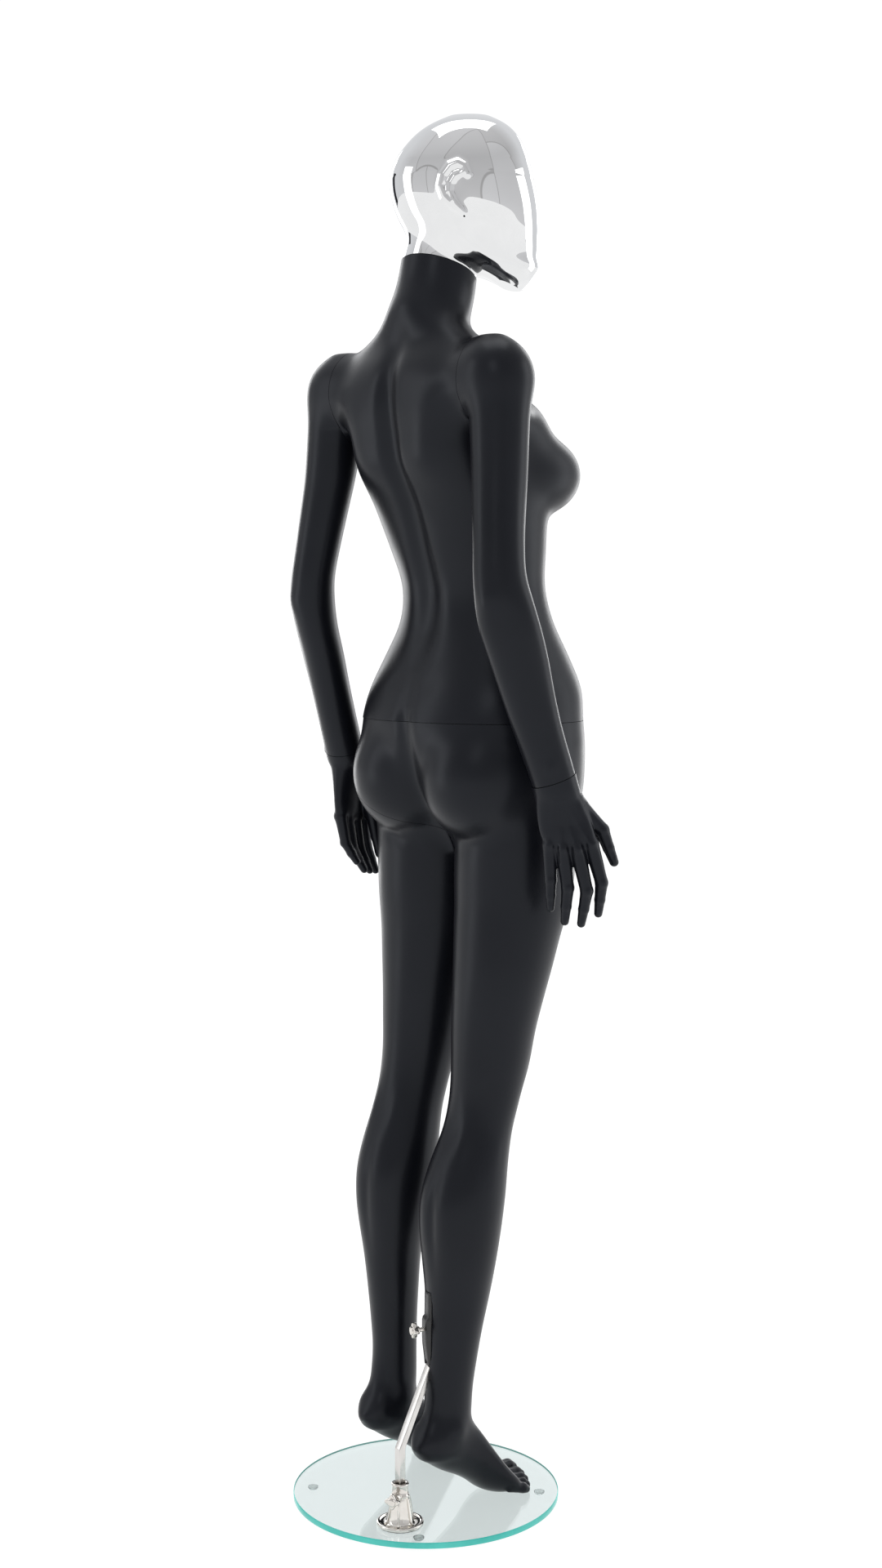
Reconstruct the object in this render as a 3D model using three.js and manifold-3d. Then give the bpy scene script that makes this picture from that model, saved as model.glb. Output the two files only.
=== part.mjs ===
// Full-body shop mannequin on a round glass base. Millimetres, +Z up, figure faces -Y.
// The figure is a set of cast shells that plug together with bayonet fittings; a bent
// square bar carries it by a socket in the right calf.
import * as THREE from 'three';
import { mergeVertices } from 'three/addons/utils/BufferGeometryUtils.js';
import Module from 'manifold-3d';

const wasm = await Module();
wasm.setup();

// ---- driving dimensions ----
const PAD_T = 4;            // height of the four bumpers under the glass
const GLASS_R = 175;        // base disc radius
const GLASS_T = 8;          // base disc thickness
const GLASS_TOP = PAD_T + GLASS_T;
const LIFT = PAD_T;         // the figure tables are measured from the glass underside
const SEAM = 0.25;          // half of the gap left at every seam
const WALL = 4.5;           // shell wall
const ROD_W = 10;           // square support bar
const SPIGOT = [-67, 103];  // where the bar stands on the glass
const ROD_TOP = [-50, 35];  // the bar's upper leg, inside the calf
const WAIST_Z = 1023 + LIFT;
const ARM_X = 122;          // shoulder seams are the planes x = +-122
const NECK_P = [0, -20, 1596 + LIFT];
const NECK_N = [0, -0.326, 0.946];
const HIP_P = [76, -78, 0];
const HIP_N = [0.489, -0.212, -0.847];
const WRIST_R = [-198.5, -33, 956 + LIFT];
const WRIST_L = [196.5, -27, 976 + LIFT];
const HEAD_C = [-22, -45];
const HEAD_YAW = 228;       // direction the face looks, degrees from +X

// ---- colours ----
const BLACK = [0x16171a, 0.42, 0.0];
const CHROME = [0xdfe2e4, 0.05, 1.0];
const NICKEL = [0xc9c6bf, 0.16, 1.0];
const STEEL = [0x9fa3a6, 0.35, 1.0];
const GLASS = [0xbfe3dc, 0.05, 0.0];
const RUBBER = [0x1c1c1c, 0.8, 0.0];
const PADS = [0xd9dede, 0.5, 0.0];

const group = new THREE.Group();
group.name = 'mannequin';

// ---- solids ----
function solid(geometry) {
  const g = geometry.clone();
  g.deleteAttribute('normal');
  g.deleteAttribute('uv');
  const m = mergeVertices(g, 1e-4);
  const src = m.index.array;
  const tri = [];
  for (let i = 0; i < src.length; i += 3) {
    const [a, b, c] = [src[i], src[i + 1], src[i + 2]];
    if (a !== b && b !== c && a !== c) {
      tri.push(a, b, c);
    }
  }
  const p = m.attributes.position.array;
  let vol = 0;
  for (let i = 0; i < tri.length; i += 3) {
    const [a, b, c] = [tri[i] * 3, tri[i + 1] * 3, tri[i + 2] * 3];
    vol += p[a] * (p[b + 1] * p[c + 2] - p[b + 2] * p[c + 1]);
    vol -= p[a + 1] * (p[b] * p[c + 2] - p[b + 2] * p[c]);
    vol += p[a + 2] * (p[b] * p[c + 1] - p[b + 1] * p[c]);
  }
  if (vol < 0) {
    for (let i = 0; i < tri.length; i += 3) {
      [tri[i], tri[i + 1]] = [tri[i + 1], tri[i]];
    }
  }
  const mesh = new wasm.Mesh({
    numProp: 3, vertProperties: new Float32Array(p), triVerts: new Uint32Array(tri),
  });
  return new wasm.Manifold(mesh);
}

function surface(manifold) {
  const m = manifold.getMesh();
  const g = new THREE.BufferGeometry();
  const pos = new Float32Array(m.numVert * 3);
  for (let i = 0; i < m.numVert; i += 1) {
    for (let k = 0; k < 3; k += 1) {
      pos[i * 3 + k] = m.vertProperties[i * m.numProp + k];
    }
  }
  g.setAttribute('position', new THREE.BufferAttribute(pos, 3));
  g.setIndex(new THREE.BufferAttribute(new Uint32Array(m.triVerts), 1));
  g.computeVertexNormals();
  return g;
}

function emit(name, manifold, look) {
  const material = new THREE.MeshStandardMaterial({
    color: look[0], roughness: look[1], metalness: look[2],
  });
  if (look === GLASS) {
    material.transparent = true;
    material.opacity = 0.35;
  }
  const mesh = new THREE.Mesh(surface(manifold), material);
  mesh.name = name;
  group.add(mesh);
}

// Stack of rings, each a list of points, closed at both ends.
function loft(rings) {
  const n = rings[0].length;
  const pos = rings.flat().flatMap((q) => [q.x, q.y, q.z]);
  const idx = [];
  for (let r = 0; r + 1 < rings.length; r += 1) {
    for (let i = 0; i < n; i += 1) {
      const j = (i + 1) % n;
      const a = r * n + i;
      const b = r * n + j;
      idx.push(a, b, b + n, a, b + n, a + n);
    }
  }
  const top = (rings.length - 1) * n;
  for (let i = 1; i + 1 < n; i += 1) {
    idx.push(0, i + 1, i, top, top + i, top + i + 1);
  }
  const g = new THREE.BufferGeometry();
  g.setAttribute('position', new THREE.Float32BufferAttribute(pos, 3));
  g.setIndex(idx);
  return solid(g);
}

// Horizontal rings: [z, cx, cy, a, front, back, power]
function trunk(table, n, inset = 0) {
  return loft(table.map(([z, cx, cy, a, bf, bb, p]) => {
    const ring = [];
    for (let i = 0; i < n; i += 1) {
      const t = (2 * Math.PI * (i + 0.5)) / n;
      const c = Math.cos(t);
      const s = Math.sin(t);
      const b = (s > 0 ? bb : bf) - inset;
      const x = cx + (a - inset) * Math.sign(c) * Math.abs(c) ** (2 / p);
      const y = cy + b * Math.sign(s) * Math.abs(s) ** (2 / p);
      ring.push(new THREE.Vector3(x, y, z + LIFT));
    }
    return ring;
  }));
}

// Rings for a limb: [z, cx, cy, major, minor], the major axis at a fixed bearing.
function limb(table, n, bearing, inset = 0) {
  const e = [Math.cos(bearing), Math.sin(bearing)];
  return loft(table.map(([z, cx, cy, ra, rb]) => {
    const ring = [];
    for (let i = 0; i < n; i += 1) {
      const t = (2 * Math.PI * i) / n;
      const p = Math.cos(t) * (ra - inset);
      const q = Math.sin(t) * (rb - inset);
      ring.push(new THREE.Vector3(cx + p * e[0] - q * e[1], cy + p * e[1] + q * e[0], z + LIFT));
    }
    return ring;
  }));
}

function ball(x, y, z, rx, ry, rz, nu = 14, nv = 9) {
  const g = new THREE.SphereGeometry(1, nu, nv);
  g.rotateX(Math.PI / 2);
  g.scale(rx, ry, rz);
  g.translate(x, y, z + LIFT);
  return solid(g);
}

// Tapered rod with round ends between two points: fingers and toes.
function taper(a, b, ra, rb, n = 6) {
  const from = new THREE.Vector3(...a);
  const to = new THREE.Vector3(...b);
  const length = from.distanceTo(to);
  const profile = [
    [0, -ra], [ra, 0], [rb, length], [rb * 0.6, length + rb * 0.8],
    [0, length + rb],
  ].map(([r, h]) => new THREE.Vector2(r, h));
  const g = new THREE.LatheGeometry(profile, n);
  const dir = to.clone().sub(from).normalize();
  g.applyQuaternion(new THREE.Quaternion().setFromUnitVectors(new THREE.Vector3(0, 1, 0), dir));
  g.translate(from.x, from.y, from.z + LIFT);
  return solid(g);
}

// Turned part about local +Z, placed at a point along an axis. Profile: [radius, height].
function placed(geometry, point, axis, spin = 0) {
  const g = geometry.clone();
  g.rotateZ(spin);
  const up = new THREE.Vector3(0, 0, 1);
  const q = new THREE.Quaternion().setFromUnitVectors(up, new THREE.Vector3(...axis).normalize());
  g.applyQuaternion(q);
  g.translate(...point);
  return g;
}

function turned(profile, n, point = [0, 0, 0], axis = [0, 0, 1], spin = 0) {
  const pts = profile.map(([r, h]) => new THREE.Vector2(r, h));
  const g = new THREE.LatheGeometry(pts, n);
  g.rotateX(Math.PI / 2);
  return solid(placed(g, point, axis, spin));
}

function disc(r, z0, z1, n, point, axis, spin) {
  return turned([[0, z0], [r, z0], [r, z1], [0, z1]], n, point, axis, spin);
}

function block(dx, dy, dz, cx, cy, cz, point = [0, 0, 0], axis = [0, 0, 1], spin = 0) {
  const g = new THREE.BoxGeometry(dx, dy, dz);
  g.translate(cx, cy, cz);
  return solid(placed(g, point, axis, spin));
}

// Everything on the side of a plane that the normal points to.
function beyond(point, normal, size = 6000) {
  return block(size, size, size, 0, 0, size / 2, point, normal);
}

function along(point, axis, d) {
  const v = new THREE.Vector3(...axis).normalize().multiplyScalar(d);
  return [point[0] + v.x, point[1] + v.y, point[2] + v.z];
}

// every second row of a table, keeping both ends
function thin(table) {
  return table.filter((row, i) => i % 2 === 0 || i === table.length - 1);
}

function join(list) {
  return list.reduce((a, b) => a.add(b));
}

// ---- bayonet fitting: a slotted plate in one shell, a T-stud in the next ----
// The axis points from the plate's shell to the stud's shell.
function bayonet(name, point, axis, s, spin = 0) {
  const n = s.sides;
  const back = -(s.plateT + 0.5);
  const seat = back - 0.4;
  const screwAt = (s.plateR + s.headR) / 2;
  const sinks = [1, -1].map((k) => along2(point, axis, spin, 0, k * screwAt));
  const screwProfile = (grow) => [
    [0, seat - s.screwL - grow], [s.screwR + grow, seat - s.screwL - grow],
    [s.screwR + grow, -0.8 - s.screwR - grow * 0.5],
    [s.screwR * 2 + grow, -0.8 + grow / 2],
    [s.screwR * 2 + grow, grow ? 1 : -0.75], [0, grow ? 1 : -0.75],
  ];
  let plate = disc(s.plateR, back, -0.5, n, point, axis, spin);
  plate = plate.subtract(disc(s.neckR + 0.4, back - 2, 2, 12, point, axis, spin));
  plate = plate.subtract(block(s.headR * 2 + 2, s.neckR * 2 + 0.8, 30, 0, 0, 0, point, axis, spin));
  sinks.forEach((q, i) => {
    plate = plate.subtract(turned(screwProfile(0.3), 6, q, axis, spin));
    const screw = turned(screwProfile(0), 6, q, axis, spin);
    emit(`${name}_plate_screw_${i + 1}`, screw, STEEL);
  });
  emit(`${name}_bayonet_plate`, plate, STEEL);

  // T-stud: flange, turned tail, neck and cross bar
  const headTop = back - 0.8;
  let stud = turned([
    [0, headTop - 1], [s.neckR, headTop - 1], [s.neckR, 0.5], [s.flangeR, 0.5],
    [s.flangeR, 0.5 + s.flangeT], [s.tailR, 0.5 + s.flangeT],
    [s.tailR, s.tailL], [0, s.tailL],
  ], n, point, axis, spin);
  stud = stud.add(block(
    s.neckR * 2 - 0.4, s.headR * 2, s.headT, 0, 0, headTop - s.headT / 2, point, axis, spin,
  ));
  emit(`${name}_bayonet_stud`, stud, STEEL);

  const pocketA = join([
    disc(s.plateR + 0.4, seat, 3, n, point, axis, spin),
    disc(s.headR * 1.1 + 1.6, seat - s.reach, 1, 14, point, axis, spin),
    ...sinks.map((q) => disc(s.screwR * 1.2 + 0.3, seat - s.screwL - 0.8, 0, 6, q, axis, spin)),
  ]);
  const pocketB = join([
    disc(s.flangeR + 0.4, -3, 0.9 + s.flangeT, n, point, axis, spin),
    disc(s.tailR + 0.4, 0, s.tailL + (s.tailOpen || 0.6), n, point, axis, spin),
  ]);
  return { pocketA, pocketB };
}

function along2(point, axis, spin, x, y) {
  const v = new THREE.Vector3(x, y, 0).applyAxisAngle(new THREE.Vector3(0, 0, 1), spin);
  const up = new THREE.Vector3(0, 0, 1);
  v.applyQuaternion(
    new THREE.Quaternion().setFromUnitVectors(up, new THREE.Vector3(...axis).normalize()),
  );
  return [point[0] + v.x, point[1] + v.y, point[2] + v.z];
}

const BIG = {
  sides: 16, plateR: 48, plateT: 4, neckR: 9, headR: 26, headT: 6, flangeR: 34, flangeT: 3,
  tailR: 8, tailL: 14, tailOpen: 8, screwR: 2.2, screwL: 7, reach: 12,
};
const MID = {
  sides: 14, plateR: 27, plateT: 3, neckR: 6, headR: 15, headT: 4, flangeR: 22, flangeT: 2.5,
  tailR: 5, tailL: 11, tailOpen: 9, screwR: 1.8, screwL: 5, reach: 14,
};
const SMALL = {
  sides: 12, plateR: 15, plateT: 2.2, neckR: 3.2, headR: 7.6, headT: 2.6, flangeR: 10.5,
  flangeT: 2, tailR: 3, tailL: 9, screwR: 1.1, screwL: 4, reach: 9,
};

// ---- section tables of the figure ----
const TORSO = [
  [985, 0, -79, 160, 124, 121, 2.3],
  [1023, 0, -80, 157, 121, 119, 2.3],
  [1062, 0, -85, 150, 117, 114, 2.3],
  [1106, 0, -88, 130, 102, 100, 2.2],
  [1150, 0, -88, 109, 86, 84, 2.1],
  [1190, 0, -84, 101, 80, 79, 2.1],
  [1245, 0, -74, 109, 84, 84, 2.2],
  [1300, 0, -56, 117, 96, 84, 2.5],
  [1345, 0, -33, 119, 108, 87, 2.6],
  [1392, 0, -19, 119, 104, 82, 2.6],
  [1408, 0, -13, 134, 98, 78, 2.5],
  [1430, 0, -5, 150, 90, 72, 2.4],
  [1452, 0, 1, 157, 76, 64, 2.2],
  [1473, 0, 6, 150, 58, 52, 2.1],
  [1488, 0, 9, 132, 43, 41, 2],
  [1500, 0, 9, 106, 37, 35, 2],
  [1512, 0, 6, 82, 39, 37, 2],
  [1526, 0, 1, 65, 46, 45, 2],
  [1544, 0, -8, 55, 52, 53, 2],
  [1570, 0, -18, 51, 50, 52, 2],
  [1600, 0, -24, 49, 49, 50, 2],
  [1650, -4, -30, 48, 49, 49, 2],
];
const PELVIS = [
  [1060, 0, -84, 151, 117, 115, 2.3],
  [1023, 0, -80, 157, 121, 119, 2.3],
  [990, 0, -79, 160, 124, 118, 2.3],
  [960, 0, -79, 160, 122, 112, 2.3],
  [925, 0, -82, 153, 112, 96, 2.3],
  [895, 0, -85, 136, 96, 76, 2.2],
  [872, 0, -86, 108, 72, 56, 2.1],
  [860, 0, -86, 60, 40, 34, 2],
];
const LEG_R = [
  [950, -78, -84, 76, 76], [900, -77, -88, 78, 78], [856, -76, -89, 78, 79],
  [823, -75, -88, 77, 79], [792, -75, -86, 76, 77], [751, -75, -74, 69, 70],
  [709, -75, -66, 64, 65], [667, -73, -60, 58, 60], [625, -71, -54, 54, 55],
  [585, -70, -52, 50, 52], [540, -68, -49, 45, 47], [499, -67, -32, 43, 44],
  [458, -66, -17, 50, 50], [417, -65, -7, 54, 54], [374, -64, -4, 53, 52],
  [331, -63, -2, 49, 47], [288, -62, 0, 42, 41], [246, -61, 5, 38, 37],
  [203, -60, 9, 33, 33], [161, -60, 14, 30, 32], [129, -60, 17, 31, 35],
  [98, -60, 24, 29, 36], [84, -60, 30, 24, 30],
];
const LEG_L = [
  [1010, 82, -76, 66, 66], [950, 78, -82, 76, 76], [900, 77, -85, 78, 78],
  [856, 76, -86, 78, 78], [792, 74, -83, 75, 76], [743, 71, -78, 69, 70],
  [709, 70, -72, 64, 65], [667, 69, -64, 58, 60], [625, 69, -58, 54, 55],
  [585, 68, -54, 50, 52], [545, 68, -44, 46, 48], [505, 68, -28, 46, 46],
  [468, 68, -17, 50, 50], [430, 68, -10, 52, 52], [390, 68, -5, 49, 49],
  [351, 68, -1, 43, 43], [308, 69, 0, 37, 38], [263, 69, -3, 34, 34],
  [219, 70, -5, 31, 31], [174, 70, -6, 29, 30], [140, 70, -4, 30, 33],
  [112, 70, 2, 30, 35], [98, 70, 4, 29, 36], [84, 70, 10, 24, 30],
];
const ARM = [
  [1493, 139, 17, 10, 9], [1486, 142, 16, 24, 22], [1472, 146, 16, 35, 34],
  [1450, 150, 15, 40, 40], [1425, 154, 17, 39, 39], [1385, 158, 20, 36.5, 36],
  [1340, 162, 24, 34, 33.5], [1290, 168, 31, 32.5, 31], [1240, 175, 38, 31.5, 28.5],
  [1205, 181, 41, 32, 28], [1178, 184, 38, 36, 29], [1148, 186, 30, 38.5, 28],
  [1107, 188, 15, 36.5, 27], [1065, 190, 3, 33, 26], [1022, 193, -11, 31, 26],
  [980, 197, -26, 29.5, 26.5], [935, 202, -41, 29, 25],
];
const HEAD = [
  [1788, -8, 10, 12, 12], [1783, -8, 32, 30, 30], [1770, -4, 56, 56, 47],
  [1748, -2, 76, 76, 62], [1722, 0, 86, 92, 71], [1695, 1, 91, 94, 74],
  [1668, 3, 93, 88, 71], [1642, 4, 92, 74, 65], [1618, 12, 83, 60, 55],
  [1598, 28, 64, 50, 44], [1584, 48, 38, 40, 30], [1578, 60, 18, 22, 18],
];
// Foot rings in planes of constant y: [y, cx, bottom, top, half width]
const FOOT = [
  [68, -60, 84, 104, 8], [60, -60, 73, 122, 22], [45, -60, 64, 140, 28],
  [25, -60, 56, 148, 30], [2, -60, 44, 140, 30], [-18, -61, 30, 120, 31],
  [-38, -63, 15, 96, 35], [-56, -66, 7, 76, 39], [-74, -68, 7, 56, 41],
  [-90, -69, 7, 40, 40], [-99, -70, 8, 28, 34],
];
const TOES = [
  [-49, -92, 20, -48, -108, 18, 11.5, 10], [-66, -92, 18, -66, -107, 15, 9, 8],
  [-79, -88, 17, -80, -101, 14, 8.2, 7.4], [-90, -82, 16, -92, -93, 13, 7.6, 7],
  [-100, -74, 15, -102, -84, 13, 7, 6.4],
];

// ---- torso and arms ----
const bust = [1, -1].map((k) => ball(k * 70, -116, 1350, 54, 74, 62, 10, 6));
const torsoForm = join([trunk(TORSO, 16), ...bust]);
const armForm = (k) => limb(ARM.map(([z, x, y, a, b]) => [z, k * x, y, a, b]), 10,
  Math.atan2(-0.743, k * 0.669));
const armHollow = (k) => limb(
  thin(ARM.slice(2)).map(([z, x, y, a, b]) => [z, k * (x + 1), y, a, b]), 8,
  Math.atan2(-0.743, k * 0.669), WALL,
);

const slab = block(2 * (ARM_X - SEAM), 600, 700, 0, 0, 1300);
const aboveWaist = beyond([0, 0, WAIST_Z + SEAM], [0, 0, 1]);
const belowNeck = beyond(along(NECK_P, NECK_N, -SEAM), NECK_N.map((c) => -c));
let torso = torsoForm.add(armForm(1)).add(armForm(-1)).intersect(aboveWaist);
torso = torso.intersect(belowNeck);
const wide = torsoForm.intersect(block(900, 900, 365, 0, 0, 1007 + 182 + LIFT));
torso = torso.intersect(slab).add(wide.intersect(aboveWaist));
let torsoHollow = trunk(TORSO, 8, WALL);
torsoHollow = torsoHollow.intersect(block(2 * (ARM_X - 10), 600, 700, 0, 0, 1300));
torsoHollow = torsoHollow.intersect(beyond([0, 0, WAIST_Z + 10], [0, 0, 1]));
torsoHollow = torsoHollow.intersect(beyond(along(NECK_P, NECK_N, -10), NECK_N.map((c) => -c)));
torso = torso.subtract(torsoHollow);

const neck = bayonet('neck', NECK_P, NECK_N, MID, 0.4);
const waist = bayonet('waist', [0, -80, WAIST_Z], [0, 0, -1], BIG, 0.3);
torso = torso.subtract(neck.pocketA).subtract(waist.pocketA);
const arms = {};
[['left', 1], ['right', -1]].forEach(([side, k]) => {
  const at = [k * ARM_X, 12, 1448 + LIFT];
  const fit = bayonet(`${side}_shoulder`, at, [k, 0, 0], MID, 0.5);
  torso = torso.subtract(fit.pocketA);
  const cap = torsoForm.intersect(block(600, 600, 200, 0, 0, 1395 + LIFT + 100));
  let arm = armForm(k).add(cap).intersect(beyond([k * (ARM_X + SEAM), 0, 0], [k, 0, 0]));
  const hollow = armHollow(k).intersect(beyond([k * (ARM_X + 10), 0, 0], [k, 0, 0]));
  const wp = k > 0 ? WRIST_L : WRIST_R;
  const wn = [k * 0.131, -0.323, -0.938];
  const up = wn.map((c) => -c);
  arm = arm.intersect(beyond(along(wp, wn, -SEAM), up));
  arm = arm.subtract(hollow.intersect(beyond(along(wp, wn, -9), up)));
  const wrist = bayonet(`${side}_wrist`, wp, wn, SMALL, 0.2);
  arm = arm.subtract(fit.pocketB).subtract(wrist.pocketA);
  arms[side] = { wrist, wp, wn };
  emit(`${side}_arm`, arm, BLACK);
});
emit('torso', torso, BLACK);

// ---- hands: solid castings ----
function hand(side, wristC, rows, palmDir) {
  const { wrist, wp, wn } = arms[side];
  const fingers = [];
  rows.forEach(([k, p, t, r0, r1, r2]) => {
    fingers.push(taper(k, p, r0, r1));
    fingers.push(taper(p, t, r1, r2));
  });
  const [kl, ki] = [rows[0][0], rows[3][0]];
  const mid = [0, 1, 2].map((i) => (kl[i] + ki[i]) / 2);
  // palm rings run from inside the forearm down to the knuckles
  const across = new THREE.Vector3(ki[0] - kl[0], ki[1] - kl[1], 0).normalize();
  const thick = new THREE.Vector3(...palmDir).normalize();
  const ring = (c, w, t) => {
    const out = [];
    for (let i = 0; i < 8; i += 1) {
      const a = (2 * Math.PI * i) / 8;
      const q = new THREE.Vector3(c[0], c[1], c[2] + LIFT);
      q.addScaledVector(across, w * Math.sign(Math.cos(a)) * Math.abs(Math.cos(a)) ** 0.8);
      q.addScaledVector(thick, t * Math.sin(a));
      out.push(q);
    }
    return out;
  };
  const mix = (s) => wristC.map((c, i) => c + (mid[i] - c) * s);
  const palm = loft([
    ring(mix(-0.25), 27, 24), ring(mix(0.1), 27, 23), ring(mix(0.35), 31, 18),
    ring(mix(0.65), 34, 14), ring(mix(0.95), 33, 11), ring(mix(1.05), 29, 8),
  ]);
  let h = join([palm, ...fingers]);
  h = h.intersect(beyond(along(wp, wn, SEAM), wn));
  h = h.subtract(wrist.pocketB);
  emit(`${side}_hand`, h, BLACK);
}
hand('right', [-200, -35, 950], [
  [[-197, -30, 876], [-196, -33, 832], [-190, -39, 796], 9, 7.5, 6],
  [[-211, -39, 872], [-212, -47, 823], [-200, -54, 779], 9.5, 8, 6.4],
  [[-224, -51, 872], [-228, -64, 819], [-212, -71, 776], 9.5, 8, 6.4],
  [[-233, -66, 878], [-238, -80, 829], [-223, -90, 788], 9.5, 8, 6.4],
  [[-214, -62, 922], [-231, -87, 893], [-239, -101, 853], 13, 9.5, 7],
], [0.743, -0.669, 0]);
hand('left', [198, -33, 968], [
  [[199, -22, 884], [200, -31, 847], [194, -46, 820], 8.5, 7, 5.8],
  [[203, -37, 878], [203, -46, 838], [195, -60, 808], 9, 7.6, 6.2],
  [[208, -54, 878], [206, -61, 836], [196, -71, 806], 9, 7.6, 6.2],
  [[212, -70, 880], [209, -76, 839], [198, -83, 805], 9, 7.6, 6.2],
  [[197, -56, 928], [192, -72, 883], [186, -80, 829], 13, 9, 6.8],
], [-0.965, -0.264, 0]);

// ---- head: faceless egg with a short cast neck and raised ears ----
const yaw = THREE.MathUtils.degToRad(HEAD_YAW);
const F = [Math.cos(yaw), Math.sin(yaw)];
function headRings(inset, n) {
  return loft(HEAD.map(([z, c, front, back, w]) => {
    const ring = [];
    for (let i = 0; i < n; i += 1) {
      const t = (2 * Math.PI * (i + 0.5)) / n;
      const f = c + Math.cos(t) * ((Math.cos(t) > 0 ? front : back) - inset);
      const s = Math.sin(t) * (w - inset);
      const x = HEAD_C[0] + f * F[0] - s * F[1];
      ring.push(new THREE.Vector3(x, HEAD_C[1] + f * F[1] + s * F[0], z + LIFT));
    }
    return ring;
  }));
}
const throat = (r, n) => trunk([
  [1560, 0, -14, r, r, r, 2], [1600, 0, -24, r, r, r, 2],
  [1650, -10, -34, r, r, r, 2], [1690, -18, -42, r - 6, r - 6, r - 6, 2],
], n);
let head = headRings(0, 16).add(throat(48.5, 14));
[1, -1].forEach((k) => {
  const g = new THREE.TorusGeometry(15, 3.2, 4, 10);
  g.scale(1, 1.6, 1);
  g.rotateX(Math.PI / 2);
  g.rotateY(0.12);
  g.rotateZ(k * 0.1);
  g.translate(-8, -k * 70.5, 1690 + LIFT);
  g.rotateZ(yaw);
  g.translate(HEAD_C[0], HEAD_C[1], 0);
  head = head.add(solid(g));
});
const aboveNeck = (d) => beyond(along(NECK_P, NECK_N, d), NECK_N);
head = head.intersect(aboveNeck(SEAM).add(beyond(
  [HEAD_C[0] + 42 * F[0], HEAD_C[1] + 42 * F[1], 0], [F[0], F[1], 0],
)));
let headHollow = loftHollow();
function loftHollow() {
  const shell = headRings(WALL, 8).intersect(beyond([0, 0, 1612 + LIFT], [0, 0, 1]));
  return shell.add(throat(44, 8)).intersect(aboveNeck(10));
}
head = head.subtract(headHollow).subtract(neck.pocketB);
emit('head', head, CHROME);

// ---- hips with the right leg, and the plug-in left leg ----
HIP_P[2] = 885 + LIFT + (0.489 * (HIP_P[0] - 10) - 0.212 * (HIP_P[1] + 40)) / 0.847;
const footForm = (k, dx, dy) => {
  const rings = FOOT.map(([y, cx, z0, z1, w]) => {
    const ring = [];
    for (let i = 0; i < 10; i += 1) {
      const t = (2 * Math.PI * (i + 0.5)) / 10;
      const flat = Math.sin(t) < 0 ? 0.75 : 1;
      const x = k * (cx + Math.cos(t) * w) + dx;
      const z = (z0 + z1) / 2 + ((z1 - z0) / 2) * Math.sign(Math.sin(t))
        * Math.abs(Math.sin(t)) ** flat;
      ring.push(new THREE.Vector3(x, y + dy, z + LIFT));
    }
    return ring;
  });
  const toes = TOES.map(([x, y, z, x2, y2, z2, ra, rb]) => taper(
    [k * x + dx, y + dy, z], [k * x2 + dx, y2 + dy, z2], ra, rb,
  ));
  return join([loft(rings), ...toes]);
};
const seat = [1, -1].map((k) => ball(k * 66, -30, 950, 70, 70, 76, 10, 6));
const overGlass = beyond([0, 0, GLASS_TOP + 0.3], [0, 0, 1]);
const rightOf = block(400, 600, 1400, -201, 0, 300);
const leftOf = block(400, 600, 1400, 201, 0, 300);
const legR = limb(LEG_R, 10, 0).add(footForm(1, 0, 0)).intersect(rightOf);
const legL = limb(LEG_L, 10, 0).add(footForm(-1, 10, -20)).intersect(leftOf);
const hipForm = join([trunk(PELVIS, 16), ...seat]);
const underSeam = beyond(along(HIP_P, HIP_N, -SEAM), HIP_N).intersect(
  block(800, 900, 1400, 400 + 0.5, 0, 500),
);
let hips = hipForm.subtract(underSeam).add(legR);
hips = hips.intersect(beyond([0, 0, WAIST_Z - SEAM], [0, 0, -1])).intersect(overGlass);
const pelvisHollow = trunk(thin(PELVIS.slice(0, 6)), 8, WALL).intersect(
  beyond(along(HIP_P, HIP_N, -11), HIP_N.map((c) => -c)),
).intersect(beyond([0, 0, WAIST_Z - 10], [0, 0, -1]));
const legHollow = limb(LEG_R.slice(0, 15), 8, 0, WALL).intersect(
  block(400, 600, 1400, -206, 0, 300),
);
hips = hips.subtract(pelvisHollow.add(legHollow));
const hip = bayonet('left_hip', HIP_P, HIP_N, BIG, 0.2);
hips = hips.subtract(waist.pocketB).subtract(hip.pocketA);

let leftLeg = hipForm.add(legL).intersect(beyond(along(HIP_P, HIP_N, SEAM), HIP_N));
leftLeg = leftLeg.intersect(leftOf).intersect(overGlass);
const leftHollow = limb(LEG_L.slice(0, 15), 8, 0, WALL).intersect(
  beyond(along(HIP_P, HIP_N, 11), HIP_N),
).intersect(block(400, 600, 1400, 206, 0, 300));
leftLeg = leftLeg.subtract(leftHollow).subtract(hip.pocketB);
emit('left_leg', leftLeg, BLACK);

// ---- support bar: upright in the spigot, cranked forward, upright in the calf ----
const [RX, RY] = ROD_TOP;
const B0 = GLASS_TOP + 9;
const barForm = (h) => {
  const path = [
    [SPIGOT[0], SPIGOT[1], B0], [SPIGOT[0], SPIGOT[1], 108 + LIFT],
    [RX, RY, 198 + LIFT], [RX, RY, 276 + LIFT],
  ];
  const corners = [[h, h], [-h, h], [-h, -h], [h, -h]];
  return loft(path.map(([x, y, z]) => (
    corners.map(([dx, dy]) => new THREE.Vector3(x + dx, y + dy, z))
  )));
};
emit('support_rod', barForm(ROD_W / 2), NICKEL);

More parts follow.
